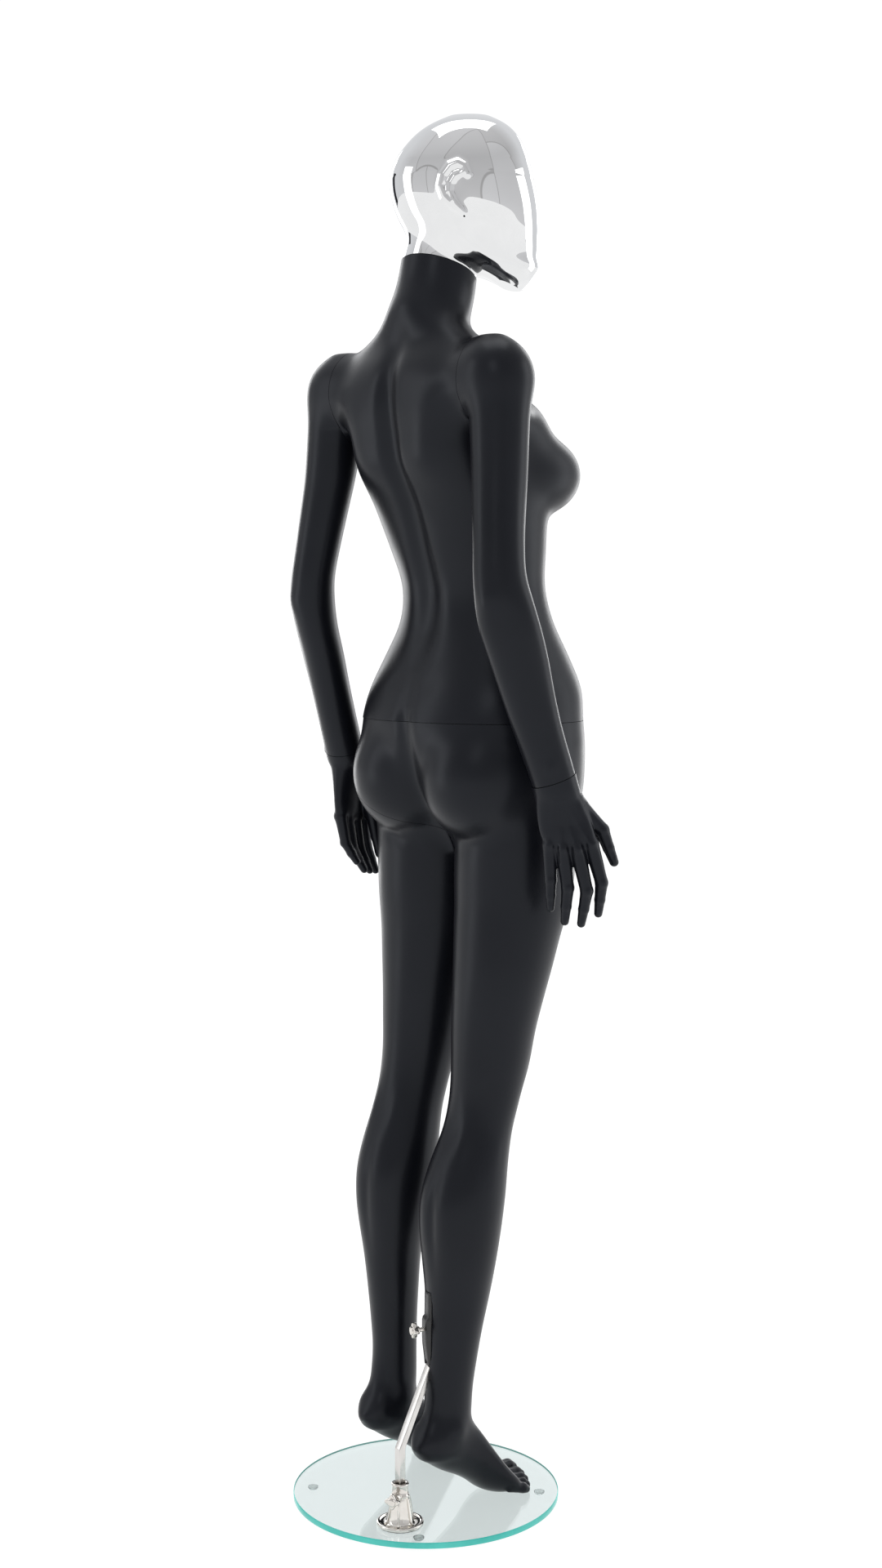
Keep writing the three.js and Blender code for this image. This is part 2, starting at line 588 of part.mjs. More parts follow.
// ---- calf socket: cast block with a square bore, let into the back of the right calf ----
const SOCKET_Z = [206, 292].map((z) => z + LIFT);
const knobDir = [0.35, 0.937, 0];
const KNOB_Z = 243 + LIFT;
const face = Math.atan2(knobDir[1], knobDir[0]) - Math.PI / 2;
const sock = (grow, z0, z1) => {
  const g = new THREE.BoxGeometry(18 + grow * 2, 20 + grow * 2, z1 - z0 + grow * 2, 1, 1, 1);
  g.translate(0, -2, 0);
  return solid(placed(g, [RX, RY, (z0 + z1) / 2], [0, 0, 1], face));
};
const bore = (grow, z0, z1) => {
  const g = new THREE.BoxGeometry(ROD_W + grow, ROD_W + grow, z1 - z0);
  return solid(placed(g, [RX, RY, (z0 + z1) / 2], [0, 0, 1], 0));
};
// open oval recess from the socket's outer face out through the calf
const oval = new THREE.CylinderGeometry(13.5, 13.5, 60, 14);
oval.scale(1, 1, 4.1);
oval.translate(0, 30 - 3, 0);
const recess = solid(placed(oval, [RX, RY, 246 + LIFT], [0, 0, 1], face));
// the slot for the bar runs on down the calf, so that the figure can be lifted off the bar
const barSlot = join([0, -13, -28].map((dz) => barForm(ROD_W / 2 + 2.5).translate(0, 0, dz)));
hips = hips.subtract(recess).subtract(sock(0.35, ...SOCKET_Z)).subtract(barSlot);
emit('hips_right_leg', hips, BLACK);
let socket = sock(0, ...SOCKET_Z).subtract(bore(0.6, SOCKET_Z[0] - 5, SOCKET_Z[1] - 8));
const screwOut = [RX, RY, KNOB_Z];
socket = socket.subtract(disc(3.4, 0, 30, 12, screwOut, knobDir));
emit('calf_socket', socket, BLACK);

// ---- star screws: four-lobed cast head on a turned stud ----
function starScrew(name, point, dir, tip, neckAt) {
  const stud = turned([[0, tip], [3, tip], [3, neckAt + 1], [0, neckAt + 1]], 12, point, dir);
  const hub = turned([
    [0, neckAt], [5, neckAt], [5.6, neckAt + 3], [5.6, neckAt + 10], [4, neckAt + 12],
    [0, neckAt + 12],
  ], 12, point, dir);
  const lobes = [0, 1, 2, 3].map((i) => {
    const g = new THREE.CylinderGeometry(3.1, 3.1, 6, 6);
    g.rotateX(Math.PI / 2);
    g.translate(6.6, 0, neckAt + 6.5);
    g.rotateZ((i * Math.PI) / 2);
    return solid(placed(g, point, dir));
  });
  emit(name, join([stud, hub, ...lobes]), NICKEL);
}
starScrew('calf_star_screw', screwOut, knobDir, ROD_W * 0.68 + 0.4, 17);

// ---- base ----
const holeAt = [SPIGOT[0], SPIGOT[1], 0];
const glass = turned([
  [0, PAD_T], [GLASS_R - 1, PAD_T], [GLASS_R, PAD_T + 1],
  [GLASS_R, GLASS_TOP - 1], [GLASS_R - 1, GLASS_TOP], [0, GLASS_TOP],
], 40).subtract(disc(5.5, 0, 30, 12, holeAt));
emit('glass_base', glass, GLASS);
[45, 135, 225, 315].forEach((deg, i) => {
  const a = THREE.MathUtils.degToRad(deg);
  const at = [150 * Math.cos(a), 150 * Math.sin(a), 0];
  const pad = turned([[0, 0], [5, 0], [6.5, 1.4], [7, PAD_T - 0.3], [0, PAD_T - 0.3]], 12, at);
  emit(`foot_pad_${i + 1}`, pad, PADS);
});

// Spigot: flanged foot, ribbed cone and a collar that the bar drops into
const S0 = GLASS_TOP + 1.2;
const cone = turned([
  [0, S0], [30, S0], [30, S0 + 3], [29, S0 + 4.4], [26.5, S0 + 4.4], [25.5, S0 + 3.2],
  [18, S0 + 3.6], [16.5, S0 + 7], [14, S0 + 20], [12.2, S0 + 34], [11, S0 + 45], [10.6, S0 + 51],
  [10, S0 + 53.5], [0, S0 + 53.5],
], 16, holeAt);
const ribs = [0, 1, 2, 3, 4, 5].map((i) => {
  const g = new THREE.BoxGeometry(3, 3, 40);
  g.rotateY(-0.165);
  g.translate(14.4, 0, S0 + 24);
  g.rotateZ((i * Math.PI) / 3 + 0.2);
  g.translate(holeAt[0], holeAt[1], 0);
  return solid(g);
});
const bar = new THREE.BoxGeometry(ROD_W + 0.7, ROD_W + 0.7, 80);
bar.translate(SPIGOT[0], SPIGOT[1], B0 - 0.6 + 40);
const spigotDir = [-0.44, 0.898, 0];
const spigotKnob = [SPIGOT[0], SPIGOT[1], 47 + LIFT];
const boss = turned([[0, 4], [6.5, 4], [6.5, 17], [5.8, 18], [0, 18]], 14, spigotKnob, spigotDir);
const spigot = join([cone, ...ribs, boss]).subtract(solid(bar))
  .subtract(disc(3.4, 0, 40, 12, spigotKnob, spigotDir))
  .subtract(disc(4.4, S0 - 2, B0 - 3.5, 12, holeAt));
emit('spigot', spigot, NICKEL);
starScrew('spigot_star_screw', spigotKnob, spigotDir, ROD_W * 0.68 + 0.4, 18.6);

// rubber gasket above the glass, washer and flat-headed bolt below it
const ringOf = (r, hole, z0, z1, n) => disc(r, z0, z1, n, holeAt).subtract(
  disc(hole, z0 - 2, z1 + 2, 16, holeAt),
);
emit('spigot_gasket', ringOf(28.5, 5.2, GLASS_TOP + 0.2, S0 - 0.2, 18), RUBBER);
emit('base_washer', ringOf(17, 5, PAD_T - 1.4, PAD_T - 0.2, 16), STEEL);
const bolt = turned([
  [0, 0.5], [8, 0.5], [8.6, 1.2], [8.6, PAD_T - 1.7], [4, PAD_T - 1.7],
  [4, B0 - 4.2], [0, B0 - 4.2],
], 16, holeAt).subtract(disc(2.6, 0, 1.6, 6, holeAt));
emit('base_bolt', bolt, STEEL);

export default group;
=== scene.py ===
import math
import bmesh
import bpy
import numpy as np
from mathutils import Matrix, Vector


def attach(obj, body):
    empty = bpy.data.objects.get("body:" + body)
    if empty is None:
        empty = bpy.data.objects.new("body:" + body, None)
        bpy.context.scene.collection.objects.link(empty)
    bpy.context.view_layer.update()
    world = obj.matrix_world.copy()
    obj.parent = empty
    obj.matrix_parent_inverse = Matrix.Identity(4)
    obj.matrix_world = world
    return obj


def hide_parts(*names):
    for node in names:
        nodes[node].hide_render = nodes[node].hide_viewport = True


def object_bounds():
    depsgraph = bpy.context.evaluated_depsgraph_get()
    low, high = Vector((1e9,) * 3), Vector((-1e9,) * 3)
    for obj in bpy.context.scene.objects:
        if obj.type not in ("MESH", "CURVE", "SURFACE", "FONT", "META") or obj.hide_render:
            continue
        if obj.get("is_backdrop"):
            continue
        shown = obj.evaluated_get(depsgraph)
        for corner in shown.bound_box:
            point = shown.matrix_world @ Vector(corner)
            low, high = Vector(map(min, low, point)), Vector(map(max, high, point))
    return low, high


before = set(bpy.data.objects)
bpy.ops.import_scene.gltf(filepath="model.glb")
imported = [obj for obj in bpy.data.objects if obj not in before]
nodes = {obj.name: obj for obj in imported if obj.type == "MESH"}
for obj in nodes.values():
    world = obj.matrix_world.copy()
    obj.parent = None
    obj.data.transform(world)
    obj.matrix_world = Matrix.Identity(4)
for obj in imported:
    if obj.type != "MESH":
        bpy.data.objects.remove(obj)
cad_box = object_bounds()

MM = 0.001
LIFT = 4.0            # the figure's tables start at the glass underside, 4 mm up
GLASS_TOP = 12.0
SEAM = 0.3            # half of the gap at a seam
THIGH_GAP = 0.8       # each thigh stops this far from the middle plane
SHOULDER_X = 122      # shoulder seams stand at this distance from the middle
WAIST_Z = 1023        # waist seam, in the tables' height
SOLE_Z = 12.3         # underside of the feet, just over the glass

# ------------------------------------------------------------------ camera
HEADING = math.radians(48)
VIEW = Vector((math.sin(HEADING), -math.cos(HEADING), 0))
RIGHT = Vector((-math.cos(HEADING), -math.sin(HEADING), 0))
PITCH = math.radians(4.65)
cam_data = bpy.data.cameras.new("camera")
cam_data.lens = 50
cam_data.sensor_width = 36
cam_data.clip_end = 60
cam = bpy.data.objects.new("camera", cam_data)
bpy.context.scene.collection.objects.link(cam)
cam.location = -VIEW * 2.799 + RIGHT * 0.020 + Vector((0, 0, 1.173))
look = VIEW * math.cos(PITCH) - Vector((0, 0, math.sin(PITCH)))
cam.rotation_euler = look.to_track_quat("-Z", "Y").to_euler()
bpy.context.scene.camera = cam


# ------------------------------------------------------------------ fields
# A shape is a function of (x, y, z) in mm that is negative inside. x, y and z may be
# three broadcasting grid axes or three flat arrays of points.
def smin(a, b, k):
    h = np.maximum(k - np.abs(a - b), 0) / k
    return np.minimum(a, b) - h * h * h * (k / 6)


def smax(a, b, k):
    return -smin(-a, -b, k)


class Profile:
    """Rows of numbers along one axis, softened by a bell of the given width."""

    def __init__(self, table, soft, squares=()):
        rows = np.array(sorted(table), dtype=float)
        self.lo, self.hi = rows[0, 0], rows[-1, 0]
        self.t = np.arange(self.lo - 60, self.hi + 60.1, 1.0)
        bell = np.exp(-0.5 * (np.arange(-60, 61) / soft) ** 2)
        bell /= bell.sum()
        self.cols = []
        for c in range(1, rows.shape[1]):
            v = rows[:, c] ** 2 if c in squares else rows[:, c]
            xs, ys = rows[:, 0], v
            d = np.gradient(ys, xs)
            i = np.clip(np.searchsorted(xs, self.t) - 1, 0, len(xs) - 2)
            h = xs[i + 1] - xs[i]
            s = np.clip((self.t - xs[i]) / h, 0, 1)
            hermite = (ys[i] * (1 + 2 * s) * (1 - s) ** 2 + ys[i + 1] * s * s * (3 - 2 * s)
                       + h * d[i] * s * (1 - s) ** 2 - h * d[i + 1] * s * s * (1 - s))
            fine = np.convolve(np.pad(hermite, 60, "edge"), bell, "valid")
            if c in squares:
                fine = np.sqrt(np.maximum(fine, 0.04))
            self.cols.append(fine)

    def at(self, t):
        flat = np.asarray(t, dtype=float)
        return [np.interp(flat, self.t, c).astype(np.float32) for c in self.cols]


def section(u, v, a, front, back, p):
    """Distance, along the ray from the centre, to a rounded section."""
    m = np.clip(v / 60 + 0.5, 0, 1)
    b = front + (back - front) * (m * m * (3 - 2 * m))
    r = np.sqrt(u * u + v * v) + 1e-3
    rho = ((np.abs(u) / a) ** p + (np.abs(v) / b) ** p + 1e-9) ** (1 / p)
    return r * (1 - 1 / rho)


def trunk(profile, soft_end=12):
    def f(x, y, z):
        cx, cy, a, bf, bb, p = profile.at(z)
        d = section(x - cx, y - cy, a, bf, bb, p)
        d = smax(d, z - profile.hi, soft_end)
        return smax(d, profile.lo - z, soft_end)
    return f


def limb(profile, bearing=0.0, soft_end=12):
    c, s = math.cos(bearing), math.sin(bearing)

    def f(x, y, z):
        cx, cy, a, b = profile.at(z)
        dx, dy = x - cx, y - cy
        u, v = dx * c + dy * s, -dx * s + dy * c
        r = np.sqrt(u * u + v * v) + 1e-3
        rho = np.sqrt((u / a) ** 2 + (v / b) ** 2 + 1e-9)
        d = smax(r * (1 - 1 / rho), z - profile.hi, soft_end)
        return smax(d, profile.lo - z, soft_end)
    return f


def egg(c, r):
    def f(x, y, z):
        u, v, w = (x - c[0]) / r[0], (y - c[1]) / r[1], (z - c[2]) / r[2]
        k0 = np.sqrt(u * u + v * v + w * w) + 1e-6
        k1 = np.sqrt((u / r[0]) ** 2 + (v / r[1]) ** 2 + (w / r[2]) ** 2) + 1e-9
        return k0 * (k0 - 1) / k1
    return f


def tube(points, radii):
    """A chain of tapered round bars."""
    def f(x, y, z):
        best = None
        for a, b, ra, rb in zip(points, points[1:], radii, radii[1:]):
            e = [b[i] - a[i] for i in range(3)]
            ll = sum(q * q for q in e)
            px, py, pz = x - a[0], y - a[1], z - a[2]
            t = np.clip((px * e[0] + py * e[1] + pz * e[2]) / ll, 0, 1)
            d = np.sqrt((px - t * e[0]) ** 2 + (py - t * e[1]) ** 2 + (pz - t * e[2]) ** 2)
            d = d - (ra + (rb - ra) * t)
            best = d if best is None else smin(best, d, 3.0)
        return best
    return f


class Form:
    """A base shape and a list of local changes, each worked out only in its own box."""

    def __init__(self, base):
        self.base = base
        self.steps = []

    def add(self, shape, k, lo, hi):
        self.steps.append((lambda f, p: smin(f, shape(*p), k), lo, hi))

    def cut(self, shape, k, lo=None, hi=None):
        self.steps.append((lambda f, p: smax(f, shape(*p), k), lo, hi))

    def swell(self, c, r, amount):
        """Raises (or, below zero, sinks) the surface round a point."""
        def step(f, p):
            q = sum(((p[i] - c[i]) / r[i]) ** 2 for i in range(3))
            return f - amount * np.exp(-q)
        lo = [c[i] - 3.2 * r[i] for i in range(3)]
        self.steps.append((step, lo, [c[i] + 3.2 * r[i] for i in range(3)]))

    def crease(self, points, width, depth):
        """Sinks (or raises) the surface along a line; width and depth per point."""
        def step(f, p):
            x, y, z = p
            total = None
            for a, b, wa, wb, da, db in zip(points, points[1:], width, width[1:], depth,
                                            depth[1:]):
                e = [b[i] - a[i] for i in range(3)]
                ll = sum(q * q for q in e)
                px, py, pz = x - a[0], y - a[1], z - a[2]
                t = np.clip((px * e[0] + py * e[1] + pz * e[2]) / ll, 0, 1)
                d2 = (px - t * e[0]) ** 2 + (py - t * e[1]) ** 2 + (pz - t * e[2]) ** 2
                g = (da + (db - da) * t) * np.exp(-d2 / (wa + (wb - wa) * t) ** 2)
                if total is None:
                    total = g
                else:
                    total = np.where(np.abs(g) > np.abs(total), g, total)
            return f + total
        m = 3.2 * max(width)
        lo = [min(q[i] for q in points) - m for i in range(3)]
        self.steps.append((step, lo, [max(q[i] for q in points) + m for i in range(3)]))

    def __call__(self, x, y, z):
        f = self.base(x, y, z)
        grid = f.ndim == 3
        for step, lo, hi in self.steps:
            if lo is None:
                f = step(f, (x, y, z))
            elif grid:
                sl = []
                for axis, g in enumerate((x.ravel(), y.ravel(), z.ravel())):
                    i0, i1 = np.searchsorted(g, [lo[axis], hi[axis]])
                    sl.append(slice(i0, i1))
                if any(s.start >= s.stop for s in sl):
                    continue
                part = (x[sl[0]], y[:, sl[1]], z[:, :, sl[2]])
                f[tuple(sl)] = step(f[tuple(sl)], part)
            else:
                m = ((x > lo[0]) & (x < hi[0]) & (y > lo[1]) & (y < hi[1])
                     & (z > lo[2]) & (z < hi[2]))
                if m.any():
                    f[m] = step(f[m], (x[m], y[m], z[m]))
        return f


def mesh_from(shape, lo, hi, step, name, rounds=2):
    """Surface nets over a box, then Newton steps onto the exact surface. Returns a bmesh."""
    xs = np.arange(lo[0], hi[0] + step, step, dtype=np.float32)
    ys = np.arange(lo[1], hi[1] + step, step, dtype=np.float32)
    zs = np.arange(lo[2], hi[2] + step, step).astype(np.float32)
    f = shape(xs[:, None, None], ys[None, :, None], zs[None, None, :])
    ins = f < 0
    n = [s - 1 for s in f.shape]
    count = np.zeros(n, dtype=np.int8)
    corners = [(a, b, c) for a in (0, 1) for b in (0, 1) for c in (0, 1)]
    for a, b, c in corners:
        count += ins[a:a + n[0], b:b + n[1], c:c + n[2]]
    active = (count > 0) & (count < 8)
    i, j, k = np.nonzero(active)
    index = np.full(n, -1, dtype=np.int64)
    index[i, j, k] = np.arange(len(i))
    val = {q: f[i + q[0], j + q[1], k + q[2]] for q in corners}
    total = np.zeros((len(i), 3))
    hits = np.zeros(len(i))
    for p in corners:
        for axis in range(3):
            if p[axis]:
                continue
            q = tuple(1 if m == axis else p[m] for m in range(3))
            fp, fq = val[p], val[q]
            cross = (fp < 0) != (fq < 0)
            t = np.where(cross, fp / np.where(cross, fp - fq, 1), 0)
            pos = [np.full(len(i), float(p[m])) for m in range(3)]
            pos[axis] = t
            for m in range(3):
                total[:, m] += np.where(cross, pos[m], 0)
            hits += cross
    mean = total / hits[:, None]
    v = np.stack([
        xs[i] + mean[:, 0] * (xs[i + 1] - xs[i]),
        ys[j] + mean[:, 1] * (ys[j + 1] - ys[j]),
        zs[k] + mean[:, 2] * (zs[k + 1] - zs[k]),
    ], axis=1)
    quads = []
    for axis in range(3):
        o1, o2 = [m for m in range(3) if m != axis]
        a = [slice(1, n[m]) for m in range(3)]
        a[axis] = slice(0, n[axis])
        b = list(a)
        b[axis] = slice(1, n[axis] + 1)
        start, end = ins[tuple(a)], ins[tuple(b)]
        ci = np.nonzero(start != end)
        flip = start[ci]
        cell = [ci[m] + (0 if m == axis else 1) for m in range(3)]

        def at(d1, d2):
            c = list(cell)
            c[o1] = c[o1] - d1
            c[o2] = c[o2] - d2
            return index[c[0], c[1], c[2]]
        q = np.stack([at(1, 1), at(0, 1), at(0, 0), at(1, 0)], axis=1)
        if axis == 1:
            flip = ~flip
        q[~flip] = q[~flip][:, ::-1]
        quads.append(q)
    quads = np.concatenate(quads)
    quads = quads[(quads >= 0).all(axis=1)]
    limit = step * 1.2
    for _ in range(rounds):
        x, y, z = v[:, 0], v[:, 1], v[:, 2]
        here = shape(x.copy(), y.copy(), z.copy())
        e = 0.25
        g = np.stack([
            shape(x + e, y.copy(), z.copy()) - shape(x - e, y.copy(), z.copy()),
            shape(x.copy(), y + e, z.copy()) - shape(x.copy(), y - e, z.copy()),
            shape(x.copy(), y.copy(), z + e) - shape(x.copy(), y.copy(), z - e),
        ], axis=1) / (2 * e)
        move = -here[:, None] * g / np.maximum((g * g).sum(axis=1), 0.05)[:, None]
        size = np.linalg.norm(move, axis=1, keepdims=True)
        v = v + move * np.minimum(1, limit / np.maximum(size, 1e-6))
    v[:, 2] += LIFT
    me = bpy.data.meshes.new(name)
    me.from_pydata((v * MM).tolist(), [], quads.tolist())
    bm = bmesh.new()
    bm.from_mesh(me)
    bpy.data.meshes.remove(me)
    return bm


def trim(bm, point, normal, keep=None):
    """Cuts a bmesh by a plane (mm, real height), drops what lies beyond it and caps it.
    keep(centre in mm) may save faces beyond the plane."""
    co = Vector(point) * MM
    no = Vector(normal).normalized()
    geom = bm.verts[:] + bm.edges[:] + bm.faces[:]
    bmesh.ops.bisect_plane(bm, geom=geom, dist=1e-7, plane_co=co, plane_no=no)
    drop = []
    for f in bm.faces:
        c = f.calc_center_median()
        if (c - co).dot(no) > 1e-7 and not (keep and keep(c / MM)):
            drop.append(f)
    bmesh.ops.delete(bm, geom=drop, context="FACES")
    loose = [vv for vv in bm.verts if not vv.link_faces]
    bmesh.ops.delete(bm, geom=loose, context="VERTS")
    edges = [e for e in bm.edges if e.is_boundary]
    before = set(bm.faces)
    bmesh.ops.triangle_fill(bm, use_beauty=False, edges=edges, normal=no)
    for f in bm.faces:
        if f not in before:
            f.smooth = False
    for e in edges:
        if e.is_valid:
            e.smooth = False


def exact_normals(me, field):
    """Corner normals from the field's own slope, and flat ones on the caps."""
    co = np.empty(len(me.vertices) * 3, dtype=np.float64)
    me.vertices.foreach_get("co", co)
    x, y, z = (co.reshape(-1, 3) / MM).T
    z = z - LIFT
    e = 0.35
    g = np.stack([field(x + e, y.copy(), z.copy()) - field(x - e, y.copy(), z.copy()),
                  field(x.copy(), y + e, z.copy()) - field(x.copy(), y - e, z.copy()),
                  field(x.copy(), y.copy(), z + e) - field(x.copy(), y.copy(), z - e)], axis=1)
    g /= np.maximum(np.linalg.norm(g, axis=1, keepdims=True), 1e-9)
    corners = []
    for poly in me.polygons:
        for v in poly.vertices:
            corners.append(tuple(g[v]) if poly.use_smooth else tuple(poly.normal))
    me.normals_split_custom_set(corners)


def piece(bm, name, body, material, replaces=(), field=None):
    me = bpy.data.meshes.new(name)
    bmesh.ops.recalc_face_normals(bm, faces=bm.faces[:])
    bm.to_mesh(me)
    bm.free()
    ob = bpy.data.objects.new(name, me)
    bpy.context.scene.collection.objects.link(ob)
    me.materials.append(material)
    if field:
        exact_normals(me, field)
    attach(ob, body)
    if replaces:
        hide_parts(*replaces)
    return ob


def smooth_all(bm):
    for f in bm.faces:
        f.smooth = True


# ------------------------------------------------------------------ node help
def material(name):
    m = bpy.data.materials.new(name)
    m.use_nodes = True
    nt = m.node_tree
    return m, nt, nt.nodes["Principled BSDF"]


def noise(nt, scale, detail=4.0, rough=0.55, stretch=None):
    tc = nt.nodes.new("ShaderNodeTexCoord")
    n = nt.nodes.new("ShaderNodeTexNoise")
    n.inputs["Scale"].default_value = scale
    n.inputs["Detail"].default_value = detail
    n.inputs["Roughness"].default_value = rough
    if stretch:
        mp = nt.nodes.new("ShaderNodeMapping")
        mp.inputs["Scale"].default_value = stretch
        nt.links.new(tc.outputs["Object"], mp.inputs["Vector"])
        nt.links.new(mp.outputs["Vector"], n.inputs["Vector"])
    else:
        nt.links.new(tc.outputs["Object"], n.inputs["Vector"])
    return n.outputs["Fac"]


def ramp(nt, fac, stops):
    r = nt.nodes.new("ShaderNodeValToRGB")
    while len(r.color_ramp.elements) < len(stops):
        r.color_ramp.elements.new(0.5)
    for e, (pos, col) in zip(r.color_ramp.elements, stops):
        e.position = pos
        e.color = (*col, 1) if len(col) == 3 else col
    nt.links.new(fac, r.inputs["Fac"])
    return r.outputs["Color"]


def grey(v):
    return (v, v, v)


def bump(nt, shader, layers):
    last = None
    for height, strength, distance in layers:
        b = nt.nodes.new("ShaderNodeBump")
        b.inputs["Strength"].default_value = strength
        b.inputs["Distance"].default_value = distance
        nt.links.new(height, b.inputs["Height"])
        if last:
            nt.links.new(last, b.inputs["Normal"])
        last = b.outputs["Normal"]
    nt.links.new(last, shader.inputs["Normal"])


# ------------------------------------------------------------------ materials
def surface(name, tones, sheen, bumps=(), **sockets):
    """A coat whose colour and roughness wander between two stops of a noise, over fine bumps.
    tones and sheen: (noise settings, low stop, high stop); bumps: (noise, strength, depth)."""
    m, nt, sh = material(name)
    for socket, (pattern, low, high) in (("Base Color", tones), ("Roughness", sheen)):
        nt.links.new(ramp(nt, noise(nt, *pattern), [low, high]), sh.inputs[socket])
    if bumps:
        bump(nt, sh, [(noise(nt, *pattern), strength, depth) for pattern, strength, depth in bumps])
    for socket, value in sockets.items():
        sh.inputs[socket.replace("_", " ")].default_value = value
    return m


black = surface(
    "satin_black", ((7, 5), (0.3, (0.0034, 0.0038, 0.0058)), (0.7, (0.0056, 0.0061, 0.0088))),
    ((16, 6, 0.6), (0.28, grey(0.29)), (0.72, grey(0.37))),
    (((900, 2), 0.05, 0.0003), ((38, 3), 0.04, 0.002)),
    Specular_IOR_Level=0.25, Specular_Tint=(0.86, 0.91, 1.0, 1))
chrome = surface(
    "mirror_chrome", ((9, 5), (0.3, (0.72, 0.727, 0.73)), (0.7, (0.78, 0.783, 0.785))),
    ((26, 6, 0.6), (0.4, grey(0.012)), (0.75, grey(0.045))), (((11, 2), 0.06, 0.004),), Metallic=1)
nickel = surface(
    "nickel_plate", ((30, 5), (0.3, (0.66, 0.63, 0.59)), (0.7, (0.78, 0.76, 0.72))),
    ((90, 6, 0.6), (0.35, grey(0.07)), (0.7, grey(0.16))), (((260, 4), 0.08, 0.0003),), Metallic=1)
bar_mat = surface(
    "satin_bar",
    ((50, 5, 0.6, (1, 1, 0.15)), (0.3, (0.60, 0.58, 0.56)), (0.7, (0.74, 0.73, 0.71))),
    ((160, 6, 0.6, (1, 1, 0.1)), (0.35, grey(0.16)), (0.7, grey(0.3))),
    (((420, 4, 0.5, (1, 1, 0.06)), 0.12, 0.0003),), Metallic=1)
steel = surface(
    "zinc_steel", ((60, 6), (0.3, (0.36, 0.37, 0.37)), (0.7, (0.52, 0.53, 0.53))),
    ((130, 6), (0.3, grey(0.28)), (0.7, grey(0.46))), (((500, 4), 0.15, 0.0003),), Metallic=1)
moulded = surface(
    "moulded_black", ((80, 4), (0.3, (0.008, 0.008, 0.009)), (0.7, (0.016, 0.016, 0.017))),
    ((120, 5), (0.3, grey(0.22)), (0.7, grey(0.36))), (((700, 3), 0.12, 0.0003),))
rubber = surface(
    "gasket_rubber", ((90, 5), (0.3, grey(0.012)), (0.7, grey(0.03))),
    ((150, 5), (0.3, grey(0.6)), (0.7, grey(0.8))), (((800, 3), 0.2, 0.0003),))
bumper = surface(
    "clear_bumper", ((60, 4), (0.3, (0.8, 0.84, 0.83)), (0.7, (0.9, 0.93, 0.92))),
    ((120, 4), (0.3, grey(0.12)), (0.7, grey(0.25))), Transmission_Weight=0.7, IOR=1.42)

glass, nt, sh = material("float_glass")
sh.inputs["Base Color"].default_value = (0.785, 0.855, 0.85, 1)
sh.inputs["Transmission Weight"].default_value = 1
sh.inputs["IOR"].default_value = 1.5
smudge = ramp(nt, noise(nt, 14, 8, 0.65, (1, 2.2, 1)), [(0.52, grey(0.0)), (0.8, grey(0.09))])
nt.links.new(smudge, sh.inputs["Roughness"])

# the polished edge has the glass's own teal tint, and a painted glow: the same teal is also emitted,
# standing in for light that piles up inside the glass
rim_glass_glow, nt, sh = material("glass_rim_painted_glow")
tone = ramp(nt, noise(nt, 18, 5), [(0.3, (0.030, 0.42, 0.36)), (0.7, (0.075, 0.56, 0.49))])
nt.links.new(tone, sh.inputs["Base Color"])
# painted glow: the edge tint is fed to the emission as well
nt.links.new(tone, sh.inputs["Emission Color"])
sh.inputs["Emission Strength"].default_value = 0.12
gloss = ramp(nt, noise(nt, 60, 5), [(0.3, grey(0.08)), (0.7, grey(0.2))])
nt.links.new(gloss, sh.inputs["Roughness"])

# ------------------------------------------------------------------ tables of the figure
TORSO = [
    (960, 0, -79, 160, 124, 119, 2.3), (990, 0, -79, 160, 124, 119, 2.3),
    (1023, 0, -80, 157, 121, 119, 2.3), (1062, 0, -85, 150, 117, 113, 2.3),
    (1106, 0, -88, 130, 102, 99, 2.25), (1150, 0, -88, 109, 86, 84, 2.2),
    (1190, 0, -84, 101, 80, 79, 2.2), (1245, 0, -74, 109, 84, 85, 2.3),
    (1300, 0, -56, 117, 96, 86, 2.5), (1345, 0, -33, 119, 106, 88, 2.6),
    (1392, 0, -19, 120, 102, 83, 2.6), (1412, 0, -12, 137, 97, 79, 2.5),
    (1432, 0, -5, 151, 88, 73, 2.35), (1452, 0, 1, 157, 75, 65, 2.2),
    (1473, 0, 6, 149, 58, 53, 2.1), (1489, 0, 8, 128, 44, 42, 2.05),
    (1500, 0, 8, 105, 39, 37, 2), (1512, 0, 5, 83, 41, 39, 2), (1526, 0, 0, 66, 47, 46, 2),
    (1544, 0, -8, 55, 52, 53, 2), (1570, 0, -18, 51, 50, 52, 2), (1600, 0, -24, 49, 49, 50, 2),
    (1640, -2, -28, 48, 49, 49, 2),
]
PELVIS = [
    (1100, 0, -88, 132, 104, 101, 2.25), (1060, 0, -84, 150, 117, 114, 2.3),
    (1023, 0, -80, 157, 121, 117, 2.3), (990, 0, -79, 160, 124, 112, 2.3),
    (960, 0, -79, 160, 122, 102, 2.3), (925, 0, -82, 153, 112, 84, 2.3),
    (895, 0, -85, 136, 94, 62, 2.2), (872, 0, -86, 104, 70, 44, 2.1),
    (856, 0, -86, 60, 40, 30, 2),
]
